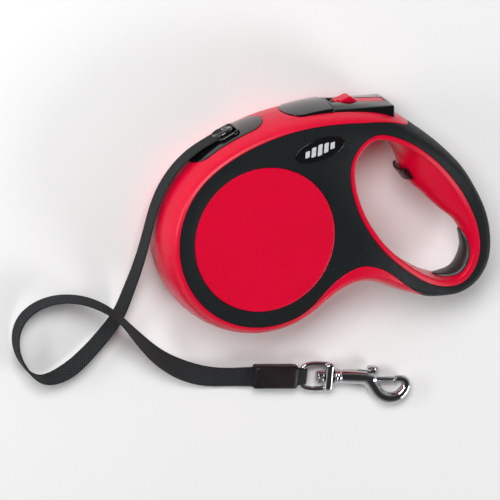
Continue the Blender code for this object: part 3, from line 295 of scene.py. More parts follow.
def make_materials():
    floor = Nodes("floor", (0.87, 0.87, 0.87), 0.9)
    floor.tint(floor.noise(6, 3), (0.86, 0.86, 0.86), (0.89, 0.89, 0.89))

    red = (0.68, 0.0, 0.03)
    shell = Nodes("red_shell", red, 0.3, Specular_IOR_Level=0.3)
    shell.mottle(red, (0.64, 0.0, 0.026), 60, 3)
    shell.rough(0.27, 0.37, 900, 2)
    shell.bump(0.12, 0.00006, 2600, 2)

    soft = (0.0042, 0.0062, 0.0072)
    overlay = Nodes("soft_black", soft, 0.6, Specular_IOR_Level=0.2)
    overlay.mottle(soft, scaled(soft, 1.35), 45, 4)
    overlay.rough(0.5, 0.62, 260, 3)
    overlay.bump(0.3, 0.00007, 3800, 3, 0.6)

    gloss = Nodes("gloss_black", (0.004, 0.0045, 0.005), 0.12, Coat_Weight=0.4, Coat_Roughness=0.05)
    gloss.rough(0.07, 0.16, 160, 3)
    gloss.bump(0.05, 0.00008, 420, 2)

    band = Nodes("band_rubber", (0.016, 0.017, 0.019), 0.36)
    band.rough(0.3, 0.42, 320, 3)
    band.bump(0.16, 0.00006, 2200, 2)

    make_webbing()

    rubber = (0.006, 0.003, 0.0045)
    sleeve = Nodes("sleeve_rubber", rubber, 0.5, Specular_IOR_Level=0.3)
    sleeve.mottle(rubber, scaled(rubber, 1.5), 90, 3)
    sleeve.rough(0.42, 0.55, 420, 3)
    sleeve.bump(0.2, 0.00008, 900, 3, stretch=(0.25, 1, 1))

    chrome = Nodes("chrome", (0.5, 0.5, 0.515), 0.07, 1.0)
    chrome.rough(0.04, 0.12, 420, 4, 0.7)
    chrome.bump(0.12, 0.0001, 240, 2)

    steel = Nodes("steel", (0.5, 0.5, 0.51), 0.3, 1.0)
    steel.rough(0.22, 0.4, 500, 2, stretch=(1, 1, 0.1))
    steel.bump(0.1, 0.00005, 1600, 2, stretch=(1, 1, 0.1))

    spring = Nodes("spring_steel", (0.3, 0.31, 0.34), 0.35, 1.0)
    spring.rough(0.28, 0.42, 600, 2)

    white = Nodes("white_plastic", (0.74, 0.74, 0.71), 0.42)
    white.rough(0.38, 0.5, 400, 2)
    white.bump(0.1, 0.00005, 1500, 2)

    grey = Nodes("grey_plastic", (0.24, 0.25, 0.26), 0.45)
    grey.rough(0.4, 0.52, 400, 2)

    silver = Nodes("badge_silver", (0.66, 0.68, 0.7), 0.35, 0.15)
    silver.rough(0.2, 0.34, 900, 2, stretch=(0.1, 1, 1))


def make_webbing():
    """Black webbing: the weave is in the mesh, and painted highlights lighten its colour along the weave
    where the yarns would catch the light.
    """
    dark, painted_yarn_highlight = (0.003, 0.0035, 0.0038), (0.04, 0.044, 0.047)
    web = Nodes("webbing", dark, 0.78, Specular_IOR_Level=0.2, Sheen_Weight=0.03, Sheen_Roughness=0.5)
    web.shader.inputs["Sheen Tint"].default_value = (0.6, 0.65, 0.7, 1)
    along = web.place("UV")
    parts = web.add("ShaderNodeSeparateXYZ")
    web.link(along, parts.inputs["Vector"])
    fold = web.math("PINGPONG", parts.outputs["Y"], WEAVE_FOLD)
    lean = web.math("ADD", parts.outputs["X"], fold)
    wave = web.math("SINE", web.math("MULTIPLY", lean, 2 * math.pi / WEAVE_PITCH))
    # painted highlight: the base colour runs from near black to a lighter grey along the chevron weave
    web.tint(web.spread(wave, 0, 1, -0.5, 1.0), dark, painted_yarn_highlight)
    web.rough(0.68, 0.86, 1300, 2)
    web.bump(0.3, 0.0001, 2400, 2, at=along, stretch=(0.001, 0.001, 0.001))


# ---------- mesh helpers ----------

def make_object(name, bm, finish, angle=35):
    bmesh.ops.recalc_face_normals(bm, faces=bm.faces)
    mesh = bpy.data.meshes.new(name)
    bm.to_mesh(mesh)
    bm.free()
    mesh.materials.append(MATERIALS[finish])
    mesh.shade_smooth()
    mesh.set_sharp_from_angle(angle=math.radians(angle))
    obj = bpy.data.objects.new(name, mesh)
    bpy.context.scene.collection.objects.link(obj)
    return obj


def modify(obj, kind, **settings):
    modifier = obj.modifiers.new(kind.lower(), kind)
    for key, value in settings.items():
        setattr(modifier, key, value)
    return modifier


def settle(obj, angle=35):
    """Applies the modifiers of obj, and marks its sharp edges again."""
    depsgraph = bpy.context.evaluated_depsgraph_get()
    mesh = bpy.data.meshes.new_from_object(obj.evaluated_get(depsgraph))
    obj.modifiers.clear()
    obj.data = mesh
    mesh.shade_smooth()
    mesh.set_sharp_from_angle(angle=math.radians(angle))
    return obj


def boolean(obj, bm, operation="DIFFERENCE"):
    tool = make_object("tool", bm, "red_shell" if operation == "UNION" else "soft_black")
    tool.data.materials.clear()
    modify(obj, "BOOLEAN", operation=operation, object=tool)
    settle(obj)
    bpy.data.objects.remove(tool, do_unlink=True)


def soften(obj, width, segments=3, angle=40):
    modify(obj, "BEVEL", width=width, segments=segments, limit_method="ANGLE",
           angle_limit=math.radians(angle), harden_normals=False)
    return settle(obj)


def place(obj, body, *nodes):
    """obj rides on a body and stands for nodes, which it hides."""
    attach(obj, body)
    if nodes:
        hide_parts(*nodes)
    return obj


def ring_verts(bm, points):
    return [bm.verts.new(p) for p in points]


def bridge(bm, first, second, closed=True):
    count = len(first)
    for k in range(count if closed else count - 1):
        after = (k + 1) % count
        bm.faces.new((first[k], first[after], second[after], second[k]))


def bridge_all(bm, loops, closed=True):
    rings = [ring_verts(bm, loop) for loop in loops]
    for first, second in zip(rings, rings[1:]):
        bridge(bm, first, second, closed)
    return rings


def fill_between(bm, *loops):
    edges = []
    for loop in loops:
        for k, vert in enumerate(loop):
            after = loop[(k + 1) % len(loop)]
            edges.append(bm.edges.get((vert, after)) or bm.edges.new((vert, after)))
    bmesh.ops.triangle_fill(bm, use_beauty=True, edges=edges)


def loft(sections):
    bm = bmesh.new()
    rings = bridge_all(bm, sections)
    bm.faces.new(rings[0][::-1])
    bm.faces.new(rings[-1])
    return bm


def rounded(points, radius, steps=5):
    """A closed polygon with its corners rounded."""
    points = [Vector(p) for p in points]
    made = []
    for k, corner in enumerate(points):
        before, after = points[k - 1] - corner, points[(k + 1) % len(points)] - corner
        reach = min(radius, before.length * 0.49, after.length * 0.49)
        start, end = corner + before.normalized() * reach, corner + after.normalized() * reach
        for step in range(steps + 1):
            t = step / steps
            made.append(start * (1 - t) ** 2 + corner * 2 * t * (1 - t) + end * t ** 2)
    return made


def corners_of(half_wide, half_tall):
    return [Vector((x * half_wide, y * half_tall, 0)) for x, y in ((-1, -1), (1, -1), (1, 1), (-1, 1))]


def rod(rows, at=(0, 0, 0), axis="Z", segments=32, flutes=0, flute_depth=0.0):
    """A closed solid of circles: each row is a place along the axis and a radius. Flutes run along it."""
    sections = []
    for run, radius in rows:
        ring = []
        for k in range(segments):
            turn = 2 * math.pi * k / segments
            r = radius - flute_depth * (0.5 + 0.5 * math.cos(flutes * turn)) if flutes else radius
            a, b = r * math.cos(turn), r * math.sin(turn)
            offset = {"X": (run, a, b), "Y": (a, run, b), "Z": (a, b, run)}[axis]
            ring.append(Vector(at) + Vector(offset))
        sections.append(ring)
    return loft(sections)


def box(low, high):
    bm = bmesh.new()
    made = bmesh.ops.create_cube(bm, size=1)["verts"]
    bmesh.ops.scale(bm, verts=made, vec=Vector(high) - Vector(low))
    bmesh.ops.translate(bm, verts=made, vec=(Vector(high) + Vector(low)) / 2)
    return bm


def mm(bm, matrix=None):
    """A bmesh made in millimetres, as metres, then moved by a matrix."""
    bmesh.ops.scale(bm, verts=bm.verts, vec=(MM, MM, MM))
    if matrix:
        bmesh.ops.transform(bm, verts=bm.verts, matrix=matrix)
    return bm


def spline_reader(points, closed):
    """A reader for the natural cubic curve through the points, by length along its x and y."""
    pts = np.asarray(points, float)
    if closed:
        pts = np.vstack([pts, pts[:1]])
    step = np.linalg.norm(np.diff(pts[:, :2], axis=0), axis=1)
    knots = np.concatenate([[0], np.cumsum(step)])
    count = len(pts)
    matrix = np.eye(count)
    right = np.zeros_like(pts)
    for k in range(1, count - 1):
        matrix[k, k - 1:k + 2] = step[k - 1], 2 * (step[k - 1] + step[k]), step[k]
        right[k] = 6 * ((pts[k + 1] - pts[k]) / step[k] - (pts[k] - pts[k - 1]) / step[k - 1])
    if closed:
        matrix[0, -1] = -1
        matrix[-1] = 0
        matrix[-1, [0, 1, -2]] = 2 * (step[0] + step[-1]), step[0], step[-1]
        right[-1] = 6 * ((pts[1] - pts[0]) / step[0] - (pts[-1] - pts[-2]) / step[-1])
    bend = np.linalg.solve(matrix, right)

    def read(at):
        k = np.clip(np.searchsorted(knots, at, side="right") - 1, 0, count - 2)
        b = ((at - knots[k]) / step[k])[:, None]
        a = 1 - b
        return (a * pts[k] + b * pts[k + 1]
                + ((a ** 3 - a) * bend[k] + (b ** 3 - b) * bend[k + 1]) * (step[k] ** 2)[:, None] / 6)
    return read, knots[-1]


def sample_curve(points, count, closed=True):
    """Points evenly spaced along the smooth curve, and the unit direction at each."""
    read, total = spline_reader(points, closed)
    fine = read(np.linspace(0, total, 8001))
    run = np.concatenate([[0], np.cumsum(np.linalg.norm(np.diff(fine[:, :2], axis=0), axis=1))])
    wanted = np.linspace(0, run[-1], count, endpoint=not closed)
    even = np.stack([np.interp(wanted, run, column) for column in fine.T], axis=1)
    slope = np.gradient(fine[:, :2], axis=0)
    if closed:
        slope[0] = slope[-1] = fine[1, :2] - fine[-2, :2]
    slope = np.stack([np.interp(wanted, run, column) for column in slope.T], axis=1)
    return even, slope / np.linalg.norm(slope, axis=1, keepdims=True)


def right_of(direction):
    return np.stack([direction[:, 1], -direction[:, 0]], axis=1)


# ---------- the case ----------

def body_arc(degrees, edge=1.0):
    return BODY_R * math.cos(math.radians(degrees)), BODY_R * math.sin(math.radians(degrees)), edge


def thickness_share(along):
    """The share of the case's thickness that is left at a reach along HANDLE_DIRECTION, smoothed."""
    reaches, shares = np.array(THINNING).T
    return sum(np.interp(along / MM + step, reaches, shares) for step in (-5, -2.5, 0, 2.5, 5)) / 5


def thin_handle(obj):
    """Thins a piece of the handle about the parting plane, the way the CAD does, in finer steps."""
    bm = bmesh.new()
    bm.from_mesh(obj.data)
    bmesh.ops.triangulate(bm, faces=bm.faces, quad_method="SHORT_EDGE")
    for reach in HANDLE_CUTS:
        bmesh.ops.bisect_plane(bm, geom=bm.verts[:] + bm.edges[:] + bm.faces[:], dist=1e-7,
                               plane_co=HANDLE_DIRECTION * reach, plane_no=HANDLE_DIRECTION)
    for vert in bm.verts:
        vert.co.z = HALF + (vert.co.z - HALF) * thickness_share(vert.co.dot(HANDLE_DIRECTION))
    bm.to_mesh(obj.data)
    bm.free()
    obj.data.shade_smooth()
    obj.data.set_sharp_from_angle(angle=math.radians(35))
    return obj


def case_outline():
    points = [body_arc(a) for a in range(130, 300, 14)] + [body_arc(308, 1.08)] + list(HANDLE_OUTLINE)
    even, direction = sample_curve(points, OUTLINE_POINTS)
    knots = np.array(points + points[:1])
    run = np.concatenate([[0], np.cumsum(np.linalg.norm(np.diff(knots[:, :2], axis=0), axis=1))])
    at = np.linspace(0, run[-1], OUTLINE_POINTS, endpoint=False)
    edge = np.interp(at, run, knots[:, 2])
    edge = np.convolve(np.concatenate([edge[-2:], edge, edge[:2]]), (0.1, 0.2, 0.4, 0.2, 0.1), "valid")
    flat = even[:, :2] * MM
    rim_reach = RIM * (0.4 + 0.6 * thickness_share(flat @ np.array(HANDLE_DIRECTION.xy)))
    return flat, right_of(direction), np.clip(edge, 0, None), rim_reach


def hand_hole():
    even, direction = sample_curve(HAND_HOLE, HOLE_POINTS)
    width = (3.0 + 0.012 * (even[:, 0] - 85)) * MM
    return even[:, :2] * MM, right_of(direction), even[:, 2:] * MM, width


def rim_ring(edge, depth, side, low=0.0):
    """Points on the rim: edge 0 is the parting line, 1 the flat face's border, and each whole step past 1 is
    10 mm on the face. depth is measured into the case."""
    edge = np.broadcast_to(edge, len(OUTLINE)).astype(float)
    angle = np.minimum(edge, 1) * math.pi / 2
    lean = np.stack([HALF * np.cos(angle), RIM_REACH * np.sin(angle)], axis=1)
    lean /= np.linalg.norm(lean, axis=1, keepdims=True)
    inset = RIM_REACH * (1 - np.cos(angle)) + np.maximum(edge - 1, 0) * 10 * MM + depth * lean[:, 0]
    height = np.maximum(HALF * np.sin(angle) - depth * lean[:, 1], low)
    flat = OUTLINE - OUTWARD * inset[:, None]
    return np.column_stack([flat, HALF + side * height])


def hole_ring(back, height, side):
    back = np.broadcast_to(back, len(HOLE))
    return np.column_stack([HOLE - INTO_HOLE * back[:, None], np.full(len(HOLE), HALF + side * height)])


def wall_mix(height):
    return (max(height - LAND, 0) / (HALF - RING_EDGE - LAND)) ** 1.7


def wall_ring(height, side, lift=0.0):
    mix = wall_mix(height)
    flat = RIDGE * (1 - mix) + HOLE * mix + INTO_HOLE * lift
    return np.column_stack([flat, np.full(len(HOLE), HALF + side * height)])


def circle(radius, height, count=160):
    turn = [2 * math.pi * k / count for k in range(count)]
    return [(radius * math.cos(a), radius * math.sin(a), height) for a in turn]


def blend(first, last, parts):
    return [first + (last - first) * part for part in parts]


def shell_mesh(side):
    """One red shell: the rim, the raised disc, the ring and wall of the hand hole, and its inner skin."""
    bm = bmesh.new()
    step = np.maximum(EDGE, 0.05)
    sunk = INLAY * np.clip(1 - EDGE / 0.08, 0, 1)
    face = np.maximum(step, 1) + 0.14
    rim = blend(0 * step, step - 0.014, np.linspace(0, 1, 11))
    loops = [rim_ring(ring, sunk, side, SEAM) for ring in rim]
    loops.append(rim_ring(step - 0.004, np.minimum(sunk + 0.08 * MM, INLAY - 0.1 * MM), side))
    loops.append(rim_ring(step, np.minimum(sunk + 0.25 * MM, INLAY - 0.05 * MM), side))
    loops += [rim_ring(ring, INLAY, side) for ring in blend(step + 0.006, face, (0, 0.35, 0.7, 1))]
    outer = bridge_all(bm, loops)
    rows = ((0, INLAY), (0, 0.25 * MM), (0.08, 0.07 * MM), (0.28, 0), (2, 0))
    disc = bridge_all(bm, [circle(DISC_R - inset * MM, HALF + side * (HALF - drop)) for inset, drop in rows])
    bm.faces.new(disc[-1])
    rows = ((0, INLAY), (0, 0.25 * MM), (0.07, 0.07 * MM), (0.25, 0))
    loops = [hole_ring(RING_W - inset * MM, HALF - drop, side) for inset, drop in rows]
    for k in range(8):
        a = math.pi / 2 * k / 7
        loops.append(hole_ring(RING_EDGE * (1 - math.sin(a)), HALF - RING_EDGE * (1 - math.cos(a)), side))
    heights = list(np.linspace(HALF - RING_EDGE, SEAM, 22)[1:])
    hole = bridge_all(bm, loops + [wall_ring(height, side) for height in heights])
    fill_between(bm, outer[-1], disc[0], hole[0])
    inside = INLAY + WALL
    inner = bridge_all(bm, [rim_ring(part, inside, side, SEAM) for part in (0, 0.35, 0.7, 1)])
    inner_heights = (HALF - inside, 13 * MM, 7 * MM, LAND, SEAM)
    hole_inner = bridge_all(bm, [wall_ring(height, side, -WALL) for height in inner_heights])
    fill_between(bm, inner[-1], hole_inner[0])
    bridge(bm, outer[0], inner[0])
    bridge(bm, hole[-1], hole_inner[-1])
    return bm


def overlay_mesh(side):
    """The soft overlay on one shell, with rounded edges."""
    bm = bmesh.new()
    start = EDGE + 0.014 * np.clip(EDGE / 0.08, 0, 1)
    face = np.maximum(start, 1) + 0.14
    fine = (0.06, 0.14, 0.24, 0.36, 0.48, 0.6, 0.72, 0.84, 0.93, 1)
    outer = [rim_ring(start, 0.3 * MM, side, SEAM), rim_ring(start + 0.004, 0.1 * MM, side, SEAM),
             rim_ring(start + 0.014, 0.0, side, SEAM)]
    outer += [rim_ring(ring, 0.0, side, SEAM) for ring in blend(start + 0.014, face, fine)]
    inner = [rim_ring(ring, OVERLAY, side, SEAM) for ring in blend(start, face, (1, 0.72, 0.48, 0.24, 0))]
    outer, inner = bridge_all(bm, outer), bridge_all(bm, inner)
    rows = ((0, OVERLAY), (0, 0.3 * MM), (0.08, 0.08 * MM), (0.3, 0))
    gap, edge = DISC_R + DISC_GAP, RING_W + 0.25 * MM
    disc = bridge_all(bm, [circle(gap + out * MM, HALF + side * (HALF - drop)) for out, drop in rows])
    hole = bridge_all(bm, [hole_ring(edge + out * MM, HALF - drop, side) for out, drop in rows])
    fill_between(bm, outer[-1], disc[-1], hole[-1])
    fill_between(bm, inner[0], disc[0], hole[0])
    bridge(bm, outer[0], inner[-1])
    return bm


def top_line(x):
    """Height of the outline's upper run and its outward normal at each x."""
    points = [(*body_arc(a)[:2], 1) for a in (158, 144)]
    points += [(x_mm, y_mm, 1) for x_mm, y_mm, _ in reversed(HANDLE_OUTLINE[14:])]
    even, direction = sample_curve(points, 1200, closed=False)
    order = np.argsort(even[:, 0])
    even, out = even[order] * MM, -right_of(direction)[order]
    y = np.interp(x, even[:, 0], even[:, 1])
    normal = np.stack([np.interp(x, even[:, 0], out[:, 0]), np.interp(x, even[:, 0], out[:, 1])], axis=-1)
    return y, normal / np.linalg.norm(normal, axis=-1, keepdims=True)


def sheet(tops, bottoms):
    """A closed sheet between two grids of points."""
    bm = bmesh.new()
    layers = [[ring_verts(bm, row) for row in grid] for grid in (tops, bottoms)]
    for layer in layers:
        for first, second in zip(layer, layer[1:]):
            bridge(bm, first, second, closed=False)
    for edge in (0, -1):
        bridge(bm, layers[0][edge], layers[1][edge], closed=False)
        bridge(bm, *[[row[edge] for row in layer] for layer in layers], closed=False)
    return bm


def rim_patch(xs, half_width, low, high, across=7):
    """A closed strip that follows the upper rim across both shells, between two heights over it."""
    tops, bottoms = [], []
    ys, normals = top_line(np.array(xs))
    for x, y, normal in zip(xs, ys, normals):
        for grid, height in ((tops, high(x)), (bottoms, low(x))):
            row = []
            for z in np.linspace(-half_width(x), half_width(x), across):
                inset = RIM * (1 - math.sqrt(1 - (z / HALF) ** 2))
                row.append((*(np.array([x, y]) + normal * (height - inset)), HALF + z))
            grid.append(row)
    return sheet(tops, bottoms)


def tongue(tip, tip_length, half):
    def width(x):
        part = min(max((x - tip) / tip_length, 0), 1)
        return max(half * math.sqrt(1 - (1 - part) ** 2), 0.9 * MM)
    return width


def rounded_steps(tip, tip_length, far, count=12, rest=14):
    near = [tip + tip_length * (1 - math.cos(math.pi / 2 * k / count)) for k in range(count + 1)]
    return near + list(np.linspace(near[-1], far, rest + 1)[1:])


def nozzle_panel(grow, low, high, across=19):
    tip, far = NOZZLE_X[1] + grow, NOZZLE_X[0] - grow
    front = tongue(tip, -10 * MM, NOZZLE_HALF + grow)
    back = tongue(far, 7 * MM, NOZZLE_HALF + grow)
    joint = far + 7 * MM
    xs = rounded_steps(tip, -10 * MM, joint) + rounded_steps(far, 7 * MM, joint, 10, 1)[-3::-1]
    return rim_patch(xs, lambda x: min(front(x), back(x)), low, high, across)


def outlet_frame():
    _, normal = top_line(np.array([STOPPER_AT.x]))
    out = Vector((*normal[0], 0))
    return UP.cross(out), out


def outlet_matrix():
    """From a frame with x along the tape, y out of the rim and z up, in millimetres, to the outlet."""
    forward, out = outlet_frame()
    matrix = Matrix((forward, out, UP)).transposed().to_4x4()
    matrix.translation = STOPPER_AT
    return matrix


def badge_mesh(side, grow, low, high, segments=72):
    bm = rod(((side * HALF + low, 1.0), (side * HALF + high, 1.0)), (0, 0, HALF), segments=segments)
    for vert in bm.verts:
        vert.co.x *= BADGE_HALF[0] + grow
        vert.co.y *= BADGE_HALF[1] + grow
    bmesh.ops.rotate(bm, verts=bm.verts, matrix=Matrix.Rotation(BADGE_TURN, 3, "Z"))
    bmesh.ops.translate(bm, verts=bm.verts, vec=BADGE_AT)
    return bm


def make_shell(name, side, node):
    obj = make_object(name, shell_mesh(side), "red_shell")
    boolean(obj, nozzle_panel(0.2 * MM, lambda x: -7 * MM, lambda x: 5 * MM, 5))
    slot = rounded_steps(COVER_X[0] - 0.2 * MM, 9 * MM, 66 * MM)
    width = tongue(COVER_X[0] - 0.2 * MM, 9 * MM, SLOT_HALF)
    boolean(obj, rim_patch(slot, width, lambda x: -7 * MM, lambda x: 6 * MM, across=5))
    rear = BUTTON_REAR + 0.5 * MM
    boolean(obj, box((55 * MM, 54 * MM, HALF - SLOT_HALF), (rear, 80 * MM, HALF + SLOT_HALF)))
    if side < 0:
        for x, y, reach in SCREWS:
            spot = (x * MM, y * MM, HALF)
            boolean(obj, rod(((-reach * MM, 3 * MM), (-8 * MM, 3 * MM)), spot, segments=28), "UNION")
            boolean(obj, rod(((-HALF - MM, SINK_R), (-SINK_FLOOR, SINK_R)), spot, segments=28))
    place(thin_handle(obj), "housing", node)


def make_overlay(name, side, node):
    obj = make_object(name, overlay_mesh(side), "soft_black")
    boolean(obj, badge_mesh(side, 0.2 * MM, -3 * MM, 3 * MM))
    if side < 0:
        for x, y, _ in SCREWS[1:]:
            boolean(obj, rod(((-HALF - MM, SINK_R + 0.1 * MM), (-14 * MM, SINK_R + 0.1 * MM)),
                             (x * MM, y * MM, HALF), segments=28))
    place(thin_handle(obj), "housing", node)


def make_badge(name, side, node):
    """A glossy oval with plain slanted silver bars."""
    low, high = (-0.8 * MM, 0.25 * MM) if side > 0 else (0.15 * MM, 1.1 * MM)
    obj = soften(make_object(name, badge_mesh(side, 0.0, low, high), "gloss_black"), 0.25 * MM)
    place(obj, "housing", node)
    face = HALF + side * (HALF + 0.25 * MM if side > 0 else HALF - 0.15 * MM)
    turn = Matrix.Translation(BADGE_AT + UP * face) @ Matrix.Rotation(BADGE_TURN, 4, "Z")
    turn = turn @ Matrix.Diagonal((1, 1, side, 1))
    bm = bmesh.new()
    rise = 0.3 if side > 0 else 0.1
    for x, tall in BADGE_BARS:
        corners = [(x + end * BAR_HALF + lean * 0.35 * tall, lean * tall, 0)
                   for end, lean in ((-1, -1), (1, -1), (1, 1), (-1, 1))]
        outline = rounded(corners, 0.5)
        rings = bridge_all(bm, [[(p.x, p.y, z) for p in outline] for z in (-0.2, rise)])
        bm.faces.new(rings[0][::-1])
        bm.faces.new(rings[1])
    device = make_object(name + "_device", mm(bm, turn), "badge_silver")
    place(soften(device, 0.1 * MM, 2), "housing")


def make_screws():
    head = ((1.6, 1.5), (1.5, 1.85), (1.3, 1.95), (0.15, 1.95), (0.15, 1.1))
    rows = [(-SINK_FLOOR - rise * MM, radius * MM) for rise, radius in head]
    for number, (x, y, _) in enumerate(SCREWS, 1):
        spot = Vector((x * MM, y * MM, HALF))
        obj = make_object(f"screw_{number}", rod(rows + [(9 * MM, 1.1 * MM)], spot, segments=32), "steel")
        for wide, deep in ((1.25, 0.28), (0.28, 1.25)):
            low = spot + Vector((-wide * MM, -deep * MM, -SINK_FLOOR - 2 * MM))
            high = spot + Vector((wide * MM, deep * MM, -SINK_FLOOR - 0.8 * MM))
            boolean(obj, box(low, high))
        place(thin_handle(obj), "housing", f"case_screw_{number}")


# ---------- outlet and hand fittings ----------

def make_outlet():
    obj = make_object("nozzle", nozzle_panel(0.0, lambda x: -2.0 * MM, lambda x: 0.35 * MM), "gloss_black")
    soften(obj, 0.35 * MM, 3, 45)
    mouth = rounded(corners_of(5.6, 6.9), 3.2, 8)
    mouth = mm(loft([[Vector((p.x, y, p.y)) for p in mouth] for y in (-6, 5)]), outlet_matrix())
    boolean(obj, mouth)
    soften(obj, 0.22 * MM, 2, 60)
    place(obj, "housing", "outlet_nozzle")
    lip = [Vector((p.x, 0.1, p.y)) for p in rounded(corners_of(6.0, 7.3), 3.4, 10)]
    rim = mm(sweep_closed(lip, 0.75, 12), outlet_matrix())
    place(make_object("nozzle_lip", rim, "gloss_black"), "housing")


def sweep_closed(points, radius, sides=16, squash=1.0):
    """A closed ring of round section along a loop of points that lies across y."""
    bm = bmesh.new()
    count = len(points)
    loops = []
    for k, point in enumerate(points):
        ahead = (points[(k + 1) % count] - points[k - 1]).normalized()
        side = ahead.cross(Vector((0, 1, 0))).normalized()
        ring = []
        for j in range(sides):
            a = 2 * math.pi * j / sides
            ring.append(point + side * radius * math.cos(a) + Vector((0, squash * radius * math.sin(a), 0)))
        loops.append(ring_verts(bm, ring))
    for k in range(count):
        bridge(bm, loops[k], loops[(k + 1) % count])
    return bm


def oval(length, width, count, power=2.6):
    points = []
    for k in range(count):
        a = 2 * math.pi * k / count
        grow = (abs(math.cos(a)) ** power + abs(math.sin(a)) ** power) ** (-1 / power)
        points.append(Vector((length / 2 * grow * math.cos(a), 0, width / 2 * grow * math.sin(a))))
    return points


def make_stopper():
    """The oval ring that stops the tape at the outlet, with the bar the tape is threaded round."""
    bm = sweep_closed(oval(9.0, 10.4, 64, 2.2), 1.6, 20, 1.1)
    lean = Matrix.Translation((1.6 * MM, 0.2 * MM, 0)) @ Matrix.Rotation(STOPPER_LEAN, 4, "X")
    ring = make_object("stopper_ring", mm(bm, outlet_matrix() @ lean), "gloss_black")
    place(ring, "housing", "tape_stopper")
    rows = [(-4.6, 0.9), (-3.4, 1.25), (-1.5, 1.5), (1.5, 1.5), (3.4, 1.25), (4.6, 0.9)]
    bar = mm(rod(rows, (0.2, 0.1, 0), segments=24), outlet_matrix())
    place(make_object("stopper_bar", bar, "gloss_black"), "housing")


def nearest_hole_point(x, y):
    return int(np.argmin(np.linalg.norm(RIDGE - np.array([x, y]) * MM, axis=1)))


def make_hand_band():
    """The soft lining at the end of the hand hole: a leaf that is widest at its middle."""
    start, end = nearest_hole_point(118.4, -9), nearest_hole_point(103.3, -33.6)
    rows = np.linspace(-1, 1, 33)
    tops, bottoms = [], []
    for index in range(start, end + 1):
        part = (index - start) / (end - start)
        half = 16.6 * MM * max(math.sin(math.pi * part), 0.0) ** 0.55 + 0.6 * MM
        strips = ([], [])
        for row in rows:
            mix = wall_mix(abs(row * half))
            spot = RIDGE[index] * (1 - mix) + HOLE[index] * mix
            edge = math.sqrt(max(1 - abs(row) ** 6, 0)) * min(1, 6 * part, 6 * (1 - part)) ** 0.5
            for strip, lift in zip(strips, (0.15 * MM, (0.3 + 1.3 * edge) * MM)):
                strip.append((*(spot + INTO_HOLE[index] * lift), HALF + row * half))
        for grid, strip in zip((bottoms, tops), strips):
            grid.append(strip)
    lining = make_object("hand_lining", sheet(tops, bottoms), "band_rubber", 50)
    place(thin_handle(lining), "housing", "hand_band")


def make_adjuster():
    """A ribbed saddle across the ridge of the hand hole's wall."""
    to_hole = Vector((ADJUSTER_ALONG.y, -ADJUSTER_ALONG.x))
    reach = (ADJUSTER_EDGE - ADJUSTER_AT).length
    sections = []
    for z in np.linspace(-9.5 * MM, 9.5 * MM, 39):
        back = wall_mix(abs(z)) * reach - 0.9 * MM
        corners = [(-ADJUSTER_HALF, 0), (ADJUSTER_HALF, 0)]
        top = []
        for k in range(33):
            part = k / 32
            rib = 0.28 * math.sin(math.pi * 6 * part) ** 2 if abs(z) < 8.6 * MM else 0
            top.append((ADJUSTER_HALF * (1 - 2 * part), 1.2 + rib))
        ring = []
        for run, lift in corners + top:
            spot = ADJUSTER_AT + ADJUSTER_ALONG * run * MM + to_hole * (lift * MM - back)
            ring.append((spot.x, spot.y, HALF + z))
        sections.append(ring)
    obj = make_object("ribbed_slide", loft(sections), "gloss_black", 40)
    place(thin_handle(obj), "adjuster", "grip_adjuster")


# ---------- brake button ----------

def button_top(x):
    return 68.6 * MM - 0.064 * (x - BUTTON_FRONT)


def make_cover():
    xs = rounded_steps(COVER_X[0], 9 * MM, COVER_X[1])
    span = COVER_X[1] - COVER_X[0]
    bm = rim_patch(xs, tongue(COVER_X[0], 9 * MM, BUTTON_HALF), lambda x: -1.9 * MM,
                   lambda x: 0.45 * MM + 1.45 * MM * (x - COVER_X[0]) / span, across=21)
    obj = soften(make_object("front_cover", bm, "gloss_black"), 0.5 * MM, 4)
    place(obj, "housing", "button_cover")


def make_button():
    """The long press button: a low crown, taller sides at the rear, and a trough for the lock slider."""
    sections = []
    for x in np.linspace(BUTTON_FRONT, BUTTON_REAR, 24):
        line = float(top_line(np.array([x]))[0][0]) / MM
        crown = button_top(x) / MM
        shoulder = crown - 2.4 + 1.9 * (x - BUTTON_FRONT) / (BUTTON_REAR - BUTTON_FRONT)
        edge = BUTTON_HALF / MM
        half = [(edge, line - 5.4), (edge, shoulder), (8.5, crown - 0.4), (4.4, crown - 0.05)]
        profile = rounded([(z, y, 0) for z, y in half + [(-z, y) for z, y in reversed(half)]], 1.3, 5)
        sections.append([(x, p.y * MM, HALF + p.x * MM) for p in profile])
    obj = soften(make_object("press_button", loft(sections), "gloss_black"), 0.6 * MM, 4, 50)
    arm = box((PIN.x - 4 * MM, 56.3 * MM, HALF - 6 * MM), (BUTTON_FRONT + MM, 62.4 * MM, HALF + 6 * MM))
    boolean(obj, arm, "UNION")
    boolean(obj, rod(((-9 * MM, 1.8 * MM), (9 * MM, 1.8 * MM)), (PIN.x, PIN.y, HALF), segments=24))
    trough = rounded([(z, y, 0) for z, y in ((-4.4, -1.9), (4.4, -1.9), (4.4, 2), (-4.4, 2))], 0.5, 3)
    sections = [[(x, button_top(x) + p.y * MM, HALF + p.x * MM) for p in trough] for x in TROUGH_X]
    boolean(obj, loft(sections))
    place(obj, "button", "brake_button")
    knob = rod([(-1.9, 1.0), (0.3, 1.0), (0.75, 0.8), (0.98, 0.4)], axis="Y", segments=24)
    stud_at = Matrix.Translation((STUD_X, button_top(STUD_X) - 0.3 * MM, HALF + 2.9 * MM))
    place(make_object("detent_stud", mm(knob, stud_at), "gloss_black"), "button")


